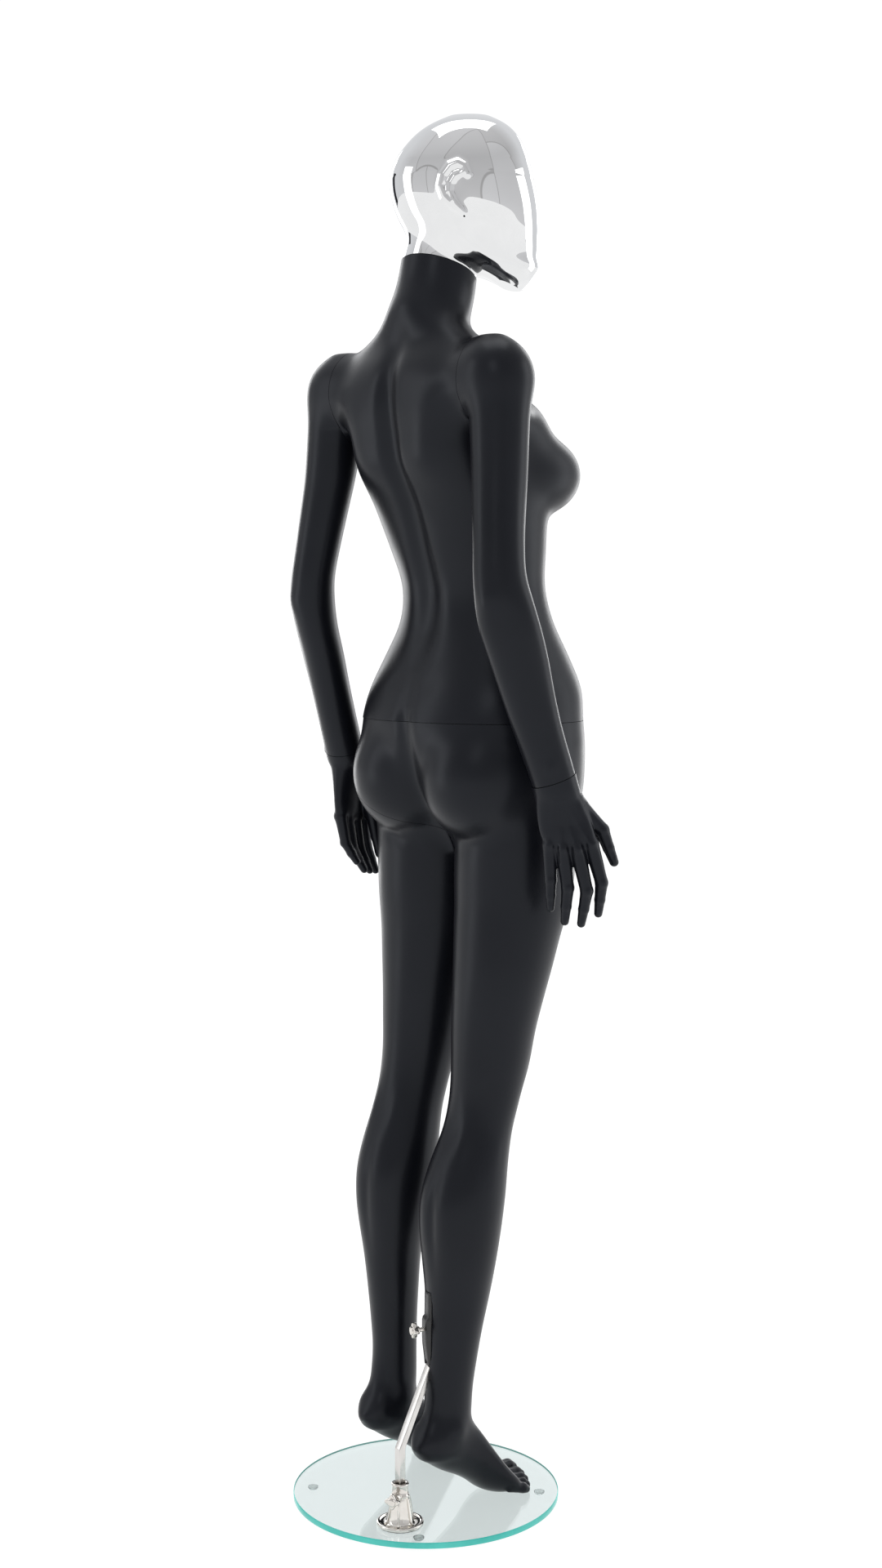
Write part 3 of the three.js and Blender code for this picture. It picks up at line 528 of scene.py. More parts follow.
LEG_R = [
    (980, -80, -80, 70, 70), (950, -78, -84, 76, 76), (900, -77, -88, 78, 78),
    (856, -76, -88, 78, 79), (823, -75, -87, 77, 79), (792, -75, -84, 75, 76),
    (751, -75, -75, 69.5, 70), (709, -75, -67, 64, 65), (667, -73, -60, 58.5, 60),
    (625, -71, -54, 54, 55), (585, -70, -50, 50, 52), (540, -68, -43, 46, 47),
    (499, -67, -31, 44.5, 45), (458, -66, -17, 50, 50), (417, -65, -8, 54, 54),
    (374, -64, -4, 53, 52), (331, -63, -2, 49, 47), (288, -62, 0, 42.5, 42),
    (246, -61, 5, 38, 37), (203, -60, 9, 33, 34), (161, -60, 14, 30, 32),
    (129, -60, 18, 30, 34), (98, -60, 24, 29, 36), (84, -60, 28, 24, 32),
]
LEG_L = [
    (1020, 84, -76, 64, 64), (950, 78, -82, 76, 76), (900, 77, -85, 78, 78),
    (856, 76, -86, 78, 78), (792, 74, -83, 75, 76), (743, 71, -78, 69, 70),
    (709, 70, -72, 64, 65), (667, 69, -65, 58.5, 60), (625, 69, -58, 54, 55),
    (585, 68, -52, 50, 52), (545, 68, -42, 46.5, 48), (505, 68, -29, 46, 46),
    (468, 68, -18, 50, 50), (430, 68, -10, 52, 52), (390, 68, -5, 49, 49),
    (351, 68, -2, 43.5, 43.5), (308, 69, -2, 37.5, 38), (263, 69, -3, 34, 34),
    (219, 70, -5, 31, 31), (174, 70, -6, 29, 30), (140, 70, -3, 30, 33),
    (112, 70, 2, 30, 36), (98, 70, 4, 29, 36), (84, 70, 8, 24, 32),
]
ARM = [
    (1496, 138, 17, 12, 11), (1486, 142, 16, 25, 23), (1472, 146, 16, 34, 33),
    (1450, 150, 15, 40, 39), (1425, 154, 17, 39, 38.5), (1385, 158, 20, 36.5, 36),
    (1340, 162, 24, 34.5, 33.5), (1290, 168, 31, 32.5, 31), (1240, 175, 37, 31.5, 29),
    (1205, 180, 40, 32.5, 28.5), (1178, 184, 37, 35.5, 29), (1148, 186, 30, 38, 28),
    (1107, 188, 16, 36.5, 27), (1065, 190, 3, 33.5, 26), (1022, 193, -11, 31, 26),
    (980, 197, -26, 29.5, 26), (935, 202, -41, 28, 24.5), (905, 205, -51, 27, 22),
]
HEAD = [
    (1788, -8, 0.2, 0.2, 0.2), (1784, -8, 30, 30, 27), (1772, -5, 55, 54, 46),
    (1750, -2, 75, 75, 61), (1722, 0, 86, 91, 71), (1695, 1, 91, 94, 74),
    (1668, 3, 93, 89, 72), (1642, 4, 93, 76, 66), (1618, 10, 86, 62, 57),
    (1600, 24, 70, 46, 48), (1590, 47, 43, 27, 38), (1582, 57, 29, 17, 27),
    (1575, 63, 18, 11, 16), (1571, 64, 0.2, 0.2, 0.2),
]
FOOT = [
    (70, -60, 95, 4, 3), (64, -60, 98, 17, 17), (52, -60, 100, 26, 27), (30, -60, 100, 29, 42),
    (5, -60, 91, 30, 46), (-16, -61, 74, 31, 42), (-36, -63, 52, 35, 36),
    (-52, -66, 36, 38.5, 26.5), (-64, -68, 27.5, 39, 18.5), (-73, -69, 22.5, 37, 13),
    (-79, -69, 20, 31, 9), (-84, -69, 18, 21, 5),
]
TOES = [
    (-49, -88, 21, -48, -106, 19, 11.5, 10), (-66, -88, 19, -66, -105, 16, 9, 8),
    (-78, -85, 18, -80, -99, 15, 8.3, 7.4), (-89, -80, 17, -92, -91, 14, 7.8, 7),
    (-99, -72, 16, -102, -82, 14, 7.2, 6.4),
]
HIP_P = (76, -78, 885 + (0.489 * 66 + 0.212 * 38) / 0.847)
HIP_N = (0.489, -0.212, -0.847)
NECK_P = (0, -20, 1596)
NECK_N = (0, -0.326, 0.946)
WRIST = {"right": (-198.5, -33, 956), "left": (196.5, -27, 976)}
HEAD_C = (-22, -45)
YAW = math.radians(228)


def up(p):
    return (p[0], p[1], p[2] + LIFT)


def minus(n):
    return tuple(-c for c in n)


def shifted(p, n, d):
    v = Vector(n).normalized() * d
    return (p[0] + v.x, p[1] + v.y, p[2] + v.z)


# ------------------------------------------------------------------ torso and arms
arm_profile = {}
for side, k in (("left", 1), ("right", -1)):
    arm_profile[side] = Profile([(z, k * x, y, a, b) for z, x, y, a, b in ARM], 9)


def arm_shape(side):
    k = 1 if side == "left" else -1
    return limb(arm_profile[side], math.atan2(-0.743, k * 0.669), 16)


# elbow point, crook of the elbow, upper arm, forearm and wrist bone: place, size, height
ARM_SWELLS = (((186, 66, 1176), (13, 12, 16), 2.6), ((192, -6, 1172), (16, 14, 26), -2.0),
              ((176, 2, 1290), (20, 16, 60), 2.2), ((212, 36, 1100), (14, 22, 46), 1.6),
              ((216, -12, 972), (7, 8, 10), 2.2))


def arm_swells(form, k):
    for c, r, amount in ARM_SWELLS:
        form.swell((k * c[0], c[1], c[2]), r, amount)


def arm_details(form, k):
    form.add(egg((k * 150, 15, 1449), (41, 41, 46)), 26, (-210, -60, 1380), (210, 90, 1520))
    form.add(egg((k * 116, 20, 1446), (36, 33, 44)), 30, (-190, -60, 1385), (190, 100, 1520))
    arm_swells(form, k)


torso_profile = Profile(TORSO, 8)
torso_base = trunk(torso_profile)


def bust_and_back(form):
    for k in (1, -1):
        form.add(egg((k * 69, -116, 1338), (55, 77, 54)), 26, (-160, -230, 1230), (160, 0, 1470))
        form.add(egg((k * 64, -84, 1376), (50, 60, 62)), 30, (-160, -200, 1280), (160, 20, 1480))
        form.add(tube([(k * 14, -37, 1496), (k * 60, -32, 1498), (k * 112, -8, 1494)],
                      [6, 5, 6]), 16, (-150, -80, 1450), (150, 40, 1530))
        # shoulder blades, loin muscles, dimples over the hips
        form.swell((k * 70, 66, 1386), (34, 30, 52), 7.5)
        form.swell((k * 52, 60, 1340), (26, 28, 30), 3.0)
        form.swell((k * 96, 60, 1440), (30, 26, 22), 3.0)
        form.swell((k * 33, 6, 1180), (20, 34, 80), 1.6)
        form.swell((k * 33, 34, 1075), (15, 14, 15), -2.4)
        form.swell((k * 100, -60, 1275), (30, 60, 26), 1.5)
    form.crease(
        [(0, 32, 1010), (0, 30, 1040), (0, 17, 1085), (0, 0, 1140), (0, -4, 1190), (0, 12, 1245),
         (0, 30, 1300), (0, 52, 1350), (0, 62, 1400), (0, 64, 1450), (0, 50, 1500),
         (0, 42, 1540)],
        [14, 15, 20, 20, 18, 16, 14, 14, 14, 15, 16, 18],
        [9, 3, 2, 5, 8, 10, 12, 13, 12, 8, 3, 0])
    form.swell((0, -198, 1088), (5.5, 14, 7), -5)
    form.crease([(0, -196, 1110), (0, -168, 1180), (0, -158, 1270)], [9, 9, 9], [1.2, 2, 1.2])
    form.crease([(0, -140, 1300), (0, -138, 1380), (0, -100, 1450)], [14, 14, 12], [4, 4, 1])
    form.swell((0, -70, 1497), (11, 18, 9), -3.5)


def torso_form():
    def base(x, y, z):
        f = torso_base(x, y, z)
        k = np.clip((z - 1392) / 40, 0.02, 1) * 40 + 0 * f
        for side in ("left", "right"):
            f = np.where(z > 1330, smin(f, arm_shape(side)(x, y, z), k), f)
        return f
    form = Form(base)
    bust_and_back(form)
    for k in (1, -1):
        arm_details(form, k)
    return form


body_form = torso_form()


def torso_only(x, y, z):
    return smax(body_form(x, y, z), np.where(z > 1240, np.abs(x) - 130, -60.0) + 0 * z, 4)


bm = mesh_from(torso_only, (-168, -224, 1010), (168, 84, 1640), 2.6, "torso")
smooth_all(bm)
trim(bm, up((0, 0, WAIST_Z + SEAM)), (0, 0, -1))
trim(bm, up(shifted(NECK_P, NECK_N, -SEAM)), NECK_N)
for k in (1, -1):
    trim(bm, (k * (SHOULDER_X - SEAM), 0, 0), (k, 0, 0), keep=lambda c: c.z < 1250 or c.y < -70)
piece(bm, "torso_shell", "upper_body", black, ["torso"])


# each arm carries the cap of the shoulder, which the torso's form gives it
for side, k in (("left", 1), ("right", -1)):
    own = arm_shape(side)

    def arm_field(x, y, z, own=own, k=k):
        cap = np.where(z > 1330, body_form(x, y, z), 1e3) + 0 * x
        blend_in = np.clip((z - 1392) / 40, 0.02, 1) * 40 + 0 * x
        f = smin(own(x, y, z), torso_base(x, y, z), blend_in)
        f = np.where(z > 1400, np.minimum(cap, f), own(x, y, z) + 0 * x)
        return smax(f, 114 - k * x + 0 * f, 2)

    arm_form = Form(arm_field)
    arm_swells(arm_form, k)
    lo = (110, -90, 925) if k > 0 else (-244, -90, 905)
    hi = (244, 84, 1512) if k > 0 else (-110, 84, 1512)
    bm = mesh_from(arm_form, lo, hi, 2.1, side + "_arm")
    smooth_all(bm)
    trim(bm, (k * (SHOULDER_X + SEAM), 0, 0), (-k, 0, 0))
    wrist_n = (k * 0.131, -0.323, -0.938)
    trim(bm, up(shifted(WRIST[side], wrist_n, -SEAM)), wrist_n)
    piece(bm, side + "_arm_shell", "arm_" + side, black, [side + "_arm"])

# ------------------------------------------------------------------ hips and legs
foot_profile = Profile([(y, cx, zc, hw, hh) for y, cx, zc, hw, hh in FOOT], 4, (2, 3))


def foot_shape(k, dx, dy):
    def f(x, y, z):
        cx, zc, hw, hh = foot_profile.at(y - dy)
        d = section(k * (x - dx) - cx, z - zc, hw, hh, hh, 2.25)
        d = smax(d, (y - dy) - 72, 8)
        return smax(d, -86 - (y - dy), 5)
    return f


def toe(k, dx, dy, i):
    x1, y1, z1, x2, y2, z2, ra, rb = TOES[i]
    a = (k * x1 + dx, y1 + dy + 14, z1 + 5)
    b = (k * x2 + dx, y2 + dy + 3, z2 + 2)
    c = (k * x2 + dx, y2 + dy - 3, z2 - 1)
    return tube([a, b, c], [ra - 1, rb + 0.3, rb - 0.5]), b, rb


def socket_slot(x, y, z):
    """Outside an open oval slot in the back of the calf, square to the star screw."""
    out = (x + 50) * 0.35 + (y - 35) * 0.937
    across = np.abs((x + 50) * 0.937 - (y - 35) * 0.35)
    along = np.abs(z - 244) - 42
    rim = np.sqrt(across ** 2 + np.maximum(along + 9.8, 0) ** 2) - 9.8
    return -np.maximum(rim + 0 * out, -3 - out)


def leg_form(side):
    k, dx, dy = (1, 0, 0) if side == "right" else (-1, 10, -20)
    table = LEG_R if side == "right" else LEG_L
    shape = limb(Profile(table, 9))
    base = lambda x, y, z: smin(shape(x, y, z), foot_shape(k, dx, dy)(x, y, z), 16)
    form = Form(base)
    for i in range(5):
        t, tip, r = toe(k, dx, dy, i)
        lo = (tip[0] - 22, tip[1] - 16, 0)
        form.add(t, 2.4, lo, (tip[0] + 22, tip[1] + 44, 52))
    for i in range(5):
        t, tip, r = toe(k, dx, dy, i)
        form.swell((tip[0], tip[1] - 1, tip[2] + r), (r * 0.55, 5, 3), 0.9)
        if i:
            o = toe(k, dx, dy, i - 1)[1]
            m = tuple((tip[j] + o[j]) / 2 for j in range(3))
            gap = [(m[0], m[1] + dy_, m[2] + dz_) for dy_, dz_ in ((20, 9), (2, 5), (-9, 0))]
            form.crease(gap,
                        [3.2, 3.0, 3.0], [0.6, 3.2, 3.6])
    x0 = -66 if side == "right" else 68
    yk = -102 if side == "right" else -106
    form.swell((x0 - 2 * k, yk + 14, 578), (20, 26, 25), 7.0)
    form.swell((x0 - 2 * k, yk + 14, 536), (17, 22, 13), -3.0)
    form.swell((x0 - 2 * k, yk + 16, 514), (15, 22, 12), 2.4)
    for s in (1, -1):
        form.swell((x0 + s * 24, yk + 26, 548), (12, 20, 24), -2.4)
        form.swell((x0 + s * 22, 30 + dy, 505), (10, 26, 34), 2.0)
        form.swell((x0 + s * 23, 46 + dy * 0.5, 395), (17, 30, 60), 3.2)
    form.swell((x0, 48 + dy, 395), (7, 26, 60), -1.8)
    form.swell((x0, 12 + dy, 500), (15, 24, 26), -2.2)
    ax = -60 if side == "right" else 70
    ay = 20 if side == "right" else -4
    form.swell((ax + 30 * k, ay, 124), (11, 12, 13), 3.8)
    form.swell((ax - 30 * k, ay + 4, 116), (11, 12, 13), 3.6)
    form.swell((ax + 22, ay + 24, 128), (10, 12, 28), -3.0)
    form.swell((ax - 22, ay + 24, 128), (10, 12, 28), -3.0)
    form.crease([(ax, ay - 30, 160), (ax, ay - 60, 96), (ax - 6 * k, ay - 88, 60)],
                [8, 8, 7], [-1.4, -1.6, -0.8])
    # outer line of the thigh and the inner hollow above the knee
    form.swell((x0 - 40 * k, -50 + dy * 0.5, 700), (24, 50, 70), 2.5)
    form.swell((x0 + 30 * k, -70 + dy * 0.5, 628), (20, 26, 26), 2.4)
    if side == "right":
        form.cut(socket_slot, 1.6, (-90, 0, 170), (-10, 90, 320))
    form.cut(lambda x, y, z: 8.4 - z + 0 * x + 0 * y, 1.6)
    return form


legs = {"right": leg_form("right"), "left": leg_form("left")}
pelvis = trunk(Profile(PELVIS, 8), 4)


def lower_form():
    def base(x, y, z):
        f = np.where(z > 846, pelvis(x, y, z), 1e3) + 0 * x
        k = np.clip((z - 800) / 90, 0.02, 1) * 34 + 0 * x
        f = smin(f, smax(legs["right"](x, y, z), x + THIGH_GAP + 0 * f, 3), k)
        return smin(f, smax(legs["left"](x, y, z), THIGH_GAP - x + 0 * f, 3), k)
    form = Form(base)
    for s in (1, -1):
        form.add(egg((s * 68, -32, 952), (76, 73, 80)), 26, (-170, -120, 850), (170, 60, 1030))
        form.swell((s * 124, -52, 985), (24, 36, 30), -2.4)
        fold_depth = 4.5 if s > 0 else 1.8
        form.crease([(s * 18, 4, 874), (s * 60, -2, 866), (s * 112, -22, 884)], [9, 10, 12],
                    [fold_depth, fold_depth, 0.6])
        form.crease([(s * 14, -150, 880), (s * 60, -172, 926), (s * 112, -160, 972)], [10, 11, 14],
                    [3.4, 3.0, 0.6])
    cleft = [(34, 1052), (38, 1022), (36, 985), (26, 945), (8, 905), (-24, 872)]
    form.crease([(0, y, z) for y, z in cleft], [13, 13, 12, 11, 10, 10], [3, 5, 8, 10, 11, 8])
    form.swell((0, -176, 900), (24, 20, 26), -2.5)
    return form


def hips_field(x, y, z):
    whole = lower_all(x, y, z)
    seam_low = -((x - HIP_P[0]) * HIP_N[0] + (y - HIP_P[1]) * HIP_N[1] + (z - HIP_P[2]) * HIP_N[2])
    keep = smax(whole, -seam_low - 6, 0.5)
    return np.minimum(keep, smax(whole, x + THIGH_GAP + 0 * whole, 0.5))


lower_all = lower_form()
bm = mesh_from(hips_field, (-172, -212, 2), (172, 76, 1034), 2.7, "hips")
smooth_all(bm)
trim(bm, up((0, 0, WAIST_Z - SEAM)), (0, 0, 1))
trim(bm, up(shifted(HIP_P, HIP_N, -SEAM)), HIP_N, keep=lambda c: c.x < 0.4)
trim(bm, (0, 0, SOLE_Z), (0, 0, -1))
piece(bm, "hips_and_right_leg", "hips", black, ["hips_right_leg"])


def left_leg_field(x, y, z):
    return smax(lower_all(x, y, z), THIGH_GAP - x + 0 * z + 0 * y, 0.5)


bm = mesh_from(left_leg_field, (-2, -212, 2), (174, 72, 1034), 2.6, "left_leg")
smooth_all(bm)
trim(bm, up(shifted(HIP_P, HIP_N, SEAM)), minus(HIP_N))
trim(bm, up((0, 0, WAIST_Z - SEAM)), (0, 0, 1))
trim(bm, (0, 0, SOLE_Z), (0, 0, -1))
piece(bm, "left_leg_shell", "hips", black, ["left_leg"])

# ------------------------------------------------------------------ hands
HANDS = {
    "right": ([-200, -35, 950], [
        [[-197, -30, 876], [-196, -33, 832], [-190, -39, 796], 9, 7.5, 6],
        [[-211, -39, 872], [-212, -47, 823], [-200, -54, 779], 9.5, 8, 6.4],
        [[-224, -51, 872], [-228, -64, 819], [-212, -71, 776], 9.5, 8, 6.4],
        [[-233, -66, 878], [-238, -80, 829], [-223, -90, 788], 9.5, 8, 6.4],
        [[-214, -62, 922], [-231, -87, 893], [-239, -101, 853], 13, 9.5, 7],
    ], (0.743, -0.669)),
    "left": ([198, -33, 968], [
        [[199, -22, 884], [200, -31, 847], [194, -46, 820], 8.5, 7, 5.8],
        [[203, -37, 878], [203, -46, 838], [195, -60, 808], 9, 7.6, 6.2],
        [[208, -54, 878], [206, -61, 836], [196, -71, 806], 9, 7.6, 6.2],
        [[212, -70, 880], [209, -76, 839], [198, -83, 805], 9, 7.6, 6.2],
        [[197, -56, 928], [192, -72, 883], [186, -80, 829], 13, 9, 6.8],
    ], (-0.965, -0.264)),
}


def level_off(p, level, amount, rise=0.0):
    """A point moved along a level direction, and raised."""
    return [p[0] + level[0] * amount, p[1] + level[1] * amount, p[2] + rise]


def hand_form(side):
    wrist, rows, palm = HANDS[side]
    kl, ki = rows[0][0], rows[3][0]
    mid = [(kl[i] + ki[i]) / 2 for i in range(3)]
    table = []
    for s, w, t in ((-0.25, 28, 24.5), (0.1, 27, 22.5), (0.35, 30, 17), (0.65, 33, 13),
                    (0.95, 32, 11), (1.05, 28, 8)):
        c = [wrist[i] + (mid[i] - wrist[i]) * s for i in range(3)]
        table.append((c[2], c[0], c[1], w, t))
    bearing = math.atan2(ki[1] - kl[1], ki[0] - kl[0])
    palm_form, arm = limb(Profile(table, 4), bearing, 6), arm_shape(side)
    stub_end = WRIST[side][2] - 22
    form = Form(lambda x, y, z: smin(palm_form(x, y, z), smax(arm(x, y, z), stub_end - z, 16), 9))
    back = (-palm[0], -palm[1])
    lo = [min(p[i] for r in rows for p in r[:3]) - 24 for i in range(3)]
    hi = [max(p[i] for r in rows for p in r[:3]) + 24 for i in range(3)]
    hi[2] = 940
    for n, (a, b, c, ra, rb, rc) in enumerate(rows):
        thumb = n == 4
        # knuckle, middle joint, last joint and tip
        m = [(b[i] * 0.45 + c[i] * 0.55) + (0 if i == 2 else back[i] * 0.5) for i in range(3)]
        root = [a[i] + (wrist[i] - a[i]) * (0.18 if thumb else 0.3) for i in range(3)]
        chain = tube([root, a, b, m, c], [ra + (2 if thumb else -1), ra, rb, rc + 0.2, rc - 1.2])
        form.add(chain, 8 if thumb else 5, lo, hi)
    # knuckles, finger joints and nails, the tendons on the back and the grooves between fingers
    for n, (a, b, c, ra, rb, rc) in enumerate(rows):
        m = [(b[i] * 0.45 + c[i] * 0.55) for i in range(3)]
        form.swell(level_off(a, back, ra), (6, 6, 7), 1.4)
        form.swell(level_off(b, back, rb), (5, 5, 5), 0.9)
        form.swell(level_off(m, back, rc), (4, 4, 4), 0.5)
        form.swell(level_off(c, back, rc - 0.4, 2.0), (3.4, 3.4, 4.2), 0.9)
        if n < 4:
            top = [wrist[i] + (a[i] - wrist[i]) * 0.25 for i in range(3)]
            form.crease([level_off(top, back, 19), level_off(a, back, ra)], [3.6, 3.2], [-0.5, -1.2])
        if n < 3:
            o = rows[n + 1]
            near = [(a[i] + o[0][i]) / 2 for i in range(3)]
            far = [(a[i] * 0.6 + b[i] * 0.4 + o[0][i] * 0.6 + o[1][i] * 0.4) / 2 for i in range(3)]
            form.crease([level_off(near, back, ra), level_off(far, back, ra)], [3, 3], [1.5, 1.5])
    form.swell(level_off(rows[4][0], palm, 10), (13, 13, 18), 2.5)
    return form, lo, hi


for side, k in (("left", 1), ("right", -1)):
    form, lo, hi = hand_form(side)
    hi = [max(hi[0], HANDS[side][0][0] + 34), max(hi[1], HANDS[side][0][1] + 34), 985]
    lo = [min(lo[0], HANDS[side][0][0] - 34), lo[1], lo[2] + 6]
    bm = mesh_from(form, lo, hi, 1.0, side + "_hand")
    smooth_all(bm)
    wrist_n = (k * 0.131, -0.323, -0.938)
    trim(bm, up(shifted(WRIST[side], wrist_n, SEAM)), minus(wrist_n))
    piece(bm, side + "_hand_casting", "hand_" + side, black, [side + "_hand"])

# ------------------------------------------------------------------ head
head_profile = Profile([(z, c, a, b, w) for z, c, a, b, w in HEAD], 7, (1, 2, 3))
throat = trunk(Profile([(1560, 0, -14, 49, 49, 50, 2), (1600, 0, -24, 49, 49, 50, 2),
                        (1650, -10, -34, 48, 48, 49, 2), (1690, -18, -42, 40, 40, 40, 2)], 8), 10)
FX, FY = math.cos(YAW), math.sin(YAW)


def to_world(f, s, z):
    return (HEAD_C[0] + f * FX - s * FY, HEAD_C[1] + f * FY + s * FX, z)


def skull(x, y, z):
    c, front, back, w = head_profile.at(z)
    dx, dy = x - HEAD_C[0], y - HEAD_C[1]
    f, s = dx * FX + dy * FY, -dx * FY + dy * FX
    d = section(s, c - f, w, front, back, 2.05)
    d = smax(d, z - 1787.5, 3)
    return smax(d, 1569 - z, 4)


def side_at(f, z):
    c, front, back, w = (float(v) for v in head_profile.at(z))
    reach = front if f > c else back
    return w * math.sqrt(max(0.05, 1 - ((f - c) / reach) ** 2))


head_form = Form(lambda x, y, z: smin(skull(x, y, z), throat(x, y, z), 18))
for k in (1, -1):
    jaw = [(-14, 1640, 0), (14, 1614, 0), (44, 1592, 0), (70, 1577, 0)]
    ridge = [to_world(f, k * side_at(f, z) * 0.97, z) for f, z, _ in jaw]
    under = [(p[0], p[1], p[2] - 13) for p in ridge]
    head_form.crease(ridge, [8, 8, 8, 8], [-0.5, -2.2, -2.4, -1.0])
    head_form.crease(under, [10, 10, 10, 10], [0.5, 2.6, 2.8, 1.0])
    helix = [(5, 1702), (0, 1712), (-8, 1716), (-18, 1712), (-26, 1701), (-29, 1688), (-25, 1675),
             (-15, 1664), (-2, 1655)]
    fold = [(-4, 1703), (-12, 1699), (-17, 1691), (-18, 1681), (-13, 1671), (-5, 1661), (1, 1654)]
    concha = to_world(-8, k * side_at(-8, 1684), 1684)
    head_form.swell(concha, (9, 9, 15), -1.4)
    for line, width, height in ((helix, 4.6, 5.4), (fold, 3.6, 3.6)):
        pts = [to_world(f, k * (side_at(f, z) + 1.0), z) for f, z in line]
        last = len(line) - 1
        rise = [-height * math.sin(math.pi * (0.12 + 0.76 * i / last)) for i in range(last + 1)]
        head_form.crease(pts, [width] * len(line), rise)
bm = mesh_from(head_form, (-122, -142, 1560), (84, 62, 1794), 1.35, "head", rounds=3)
smooth_all(bm)
trim(bm, up(shifted(NECK_P, NECK_N, SEAM)), minus(NECK_N))
piece(bm, "egg_head", "head_unit", chrome, ["head"], head_form)


# ------------------------------------------------------------------ base and hardware
def sharpen(bm, angle=32):
    for f in bm.faces:
        f.smooth = len(f.verts) < 5
    for e in bm.edges:
        if len(e.link_faces) == 2 and e.calc_face_angle(0) > math.radians(angle):
            e.smooth = False


def loft(rings, caps=True):
    bm = bmesh.new()
    rows = [[bm.verts.new(Vector(p) * MM) for p in ring] for ring in rings]
    n = len(rows[0])
    for a, b in zip(rows, rows[1:]):
        for i in range(n):
            bm.faces.new((a[i], a[(i + 1) % n], b[(i + 1) % n], b[i]))
    if caps:
        bm.faces.new(rows[0][::-1])
        bm.faces.new(rows[-1])
    return bm


def frame_of(axis):
    z = Vector(axis).normalized()
    x = z.orthogonal().normalized() if abs(z.z) < 0.9 else Vector((1, 0, 0))
    x = (x - z * x.dot(z)).normalized()
    if abs(z.z) < 0.9:
        x = Vector((0, 0, 1)).cross(z).normalized()
    return x, z.cross(x), z


def lathe(profile, n, at=(0, 0, 0), axis=(0, 0, 1), shape=lambda t: 1.0):
    x, y, z = frame_of(axis)
    at = Vector(at)
    rings = []
    for r, h in profile:
        rings.append([at + (x * math.cos(t) + y * math.sin(t)) * (max(r, 0.02) * shape(t)) + z * h
                      for t in (2 * math.pi * i / n for i in range(n))])
    return loft(rings)


def merge(target, other):
    me = bpy.data.meshes.new("join")
    other.to_mesh(me)
    other.free()
    target.from_mesh(me)
    bpy.data.meshes.remove(me)


SPIGOT = (-67, 103, 0)
G0, G1, GR = 4, GLASS_TOP, 175
bm = lathe([(GR - 1.1, G0), (GR - 0.4, G0 + 0.3), (GR, G0 + 1.1), (GR, G1 - 1.1),
            (GR - 0.4, G1 - 0.3), (GR - 1.1, G1)], 220)
sharpen(bm, 40)
for f in bm.faces:
    f.material_index = 0 if len(f.verts) > 4 else 1
disc = piece(bm, "glass_disc", "base", glass, ["glass_base"])
disc.data.materials.append(rim_glass_glow)
for i, deg in enumerate((45, 135, 225, 315)):
    a = math.radians(deg)
    bm = lathe([(4.2, 0), (5.4, 0.35), (6.4, 1.3), (6.9, 2.6), (7.0, 3.5), (6.9, 3.7)], 40,
               (150 * math.cos(a), 150 * math.sin(a), 0))
    sharpen(bm, 50)
    piece(bm, f"bumper_{i + 1}", "base", bumper, [f"foot_pad_{i + 1}"])

S0 = G1 + 1.2
# flange with a raised rim, fluted cone, step, straight collar and its rolled rim
outline = [(29, 0), (30, 0.6), (30, 3.2), (29.4, 4.2), (28.2, 4.6), (26.6, 4.4), (25.6, 3.4),
           (24, 3.0), (19, 3.4), (17.4, 4.6), (16.4, 7), (15.4, 12), (14, 20), (12.6, 29),
           (11.6, 35), (11.2, 36.4), (11.7, 37.2), (11.7, 38.4), (10.7, 39.4), (10.5, 50),
           (11.1, 51), (11.1, 52.6), (10.4, 53.5), (7.4, 53.5), (7.2, 48)]
bm = lathe([(r, S0 + h) for r, h in outline], 96, SPIGOT)
for i in range(6):
    t = i * math.pi / 3 + 0.2
    out, beside = Vector((math.cos(t), math.sin(t), 0)), Vector((-math.sin(t), math.cos(t), 0))
    rib = [[Vector(SPIGOT) + out * (r + dr) + beside * w + Vector((0, 0, S0 + h))
            for dr, w in ((-3, -1.6), (1.3, -1.5), (2.0, -0.8), (2.0, 0.8), (1.3, 1.5), (-3, 1.6))]
           for h, r in ((4.0, 20.0), (6, 17.0), (12, 15.4), (20, 14.0), (29, 12.6), (35, 11.0))]
    merge(bm, loft(rib))
spigot_dir, spigot_knob = (-0.44, 0.898, 0), (SPIGOT[0], SPIGOT[1], 51)
boss = [(6.5, 6), (6.5, 16.6), (6.1, 17.6), (5.4, 18), (3.3, 18)]
merge(bm, lathe(boss, 40, spigot_knob, spigot_dir))
sharpen(bm, 36)
piece(bm, "spigot_casting", "base", nickel, ["spigot"])


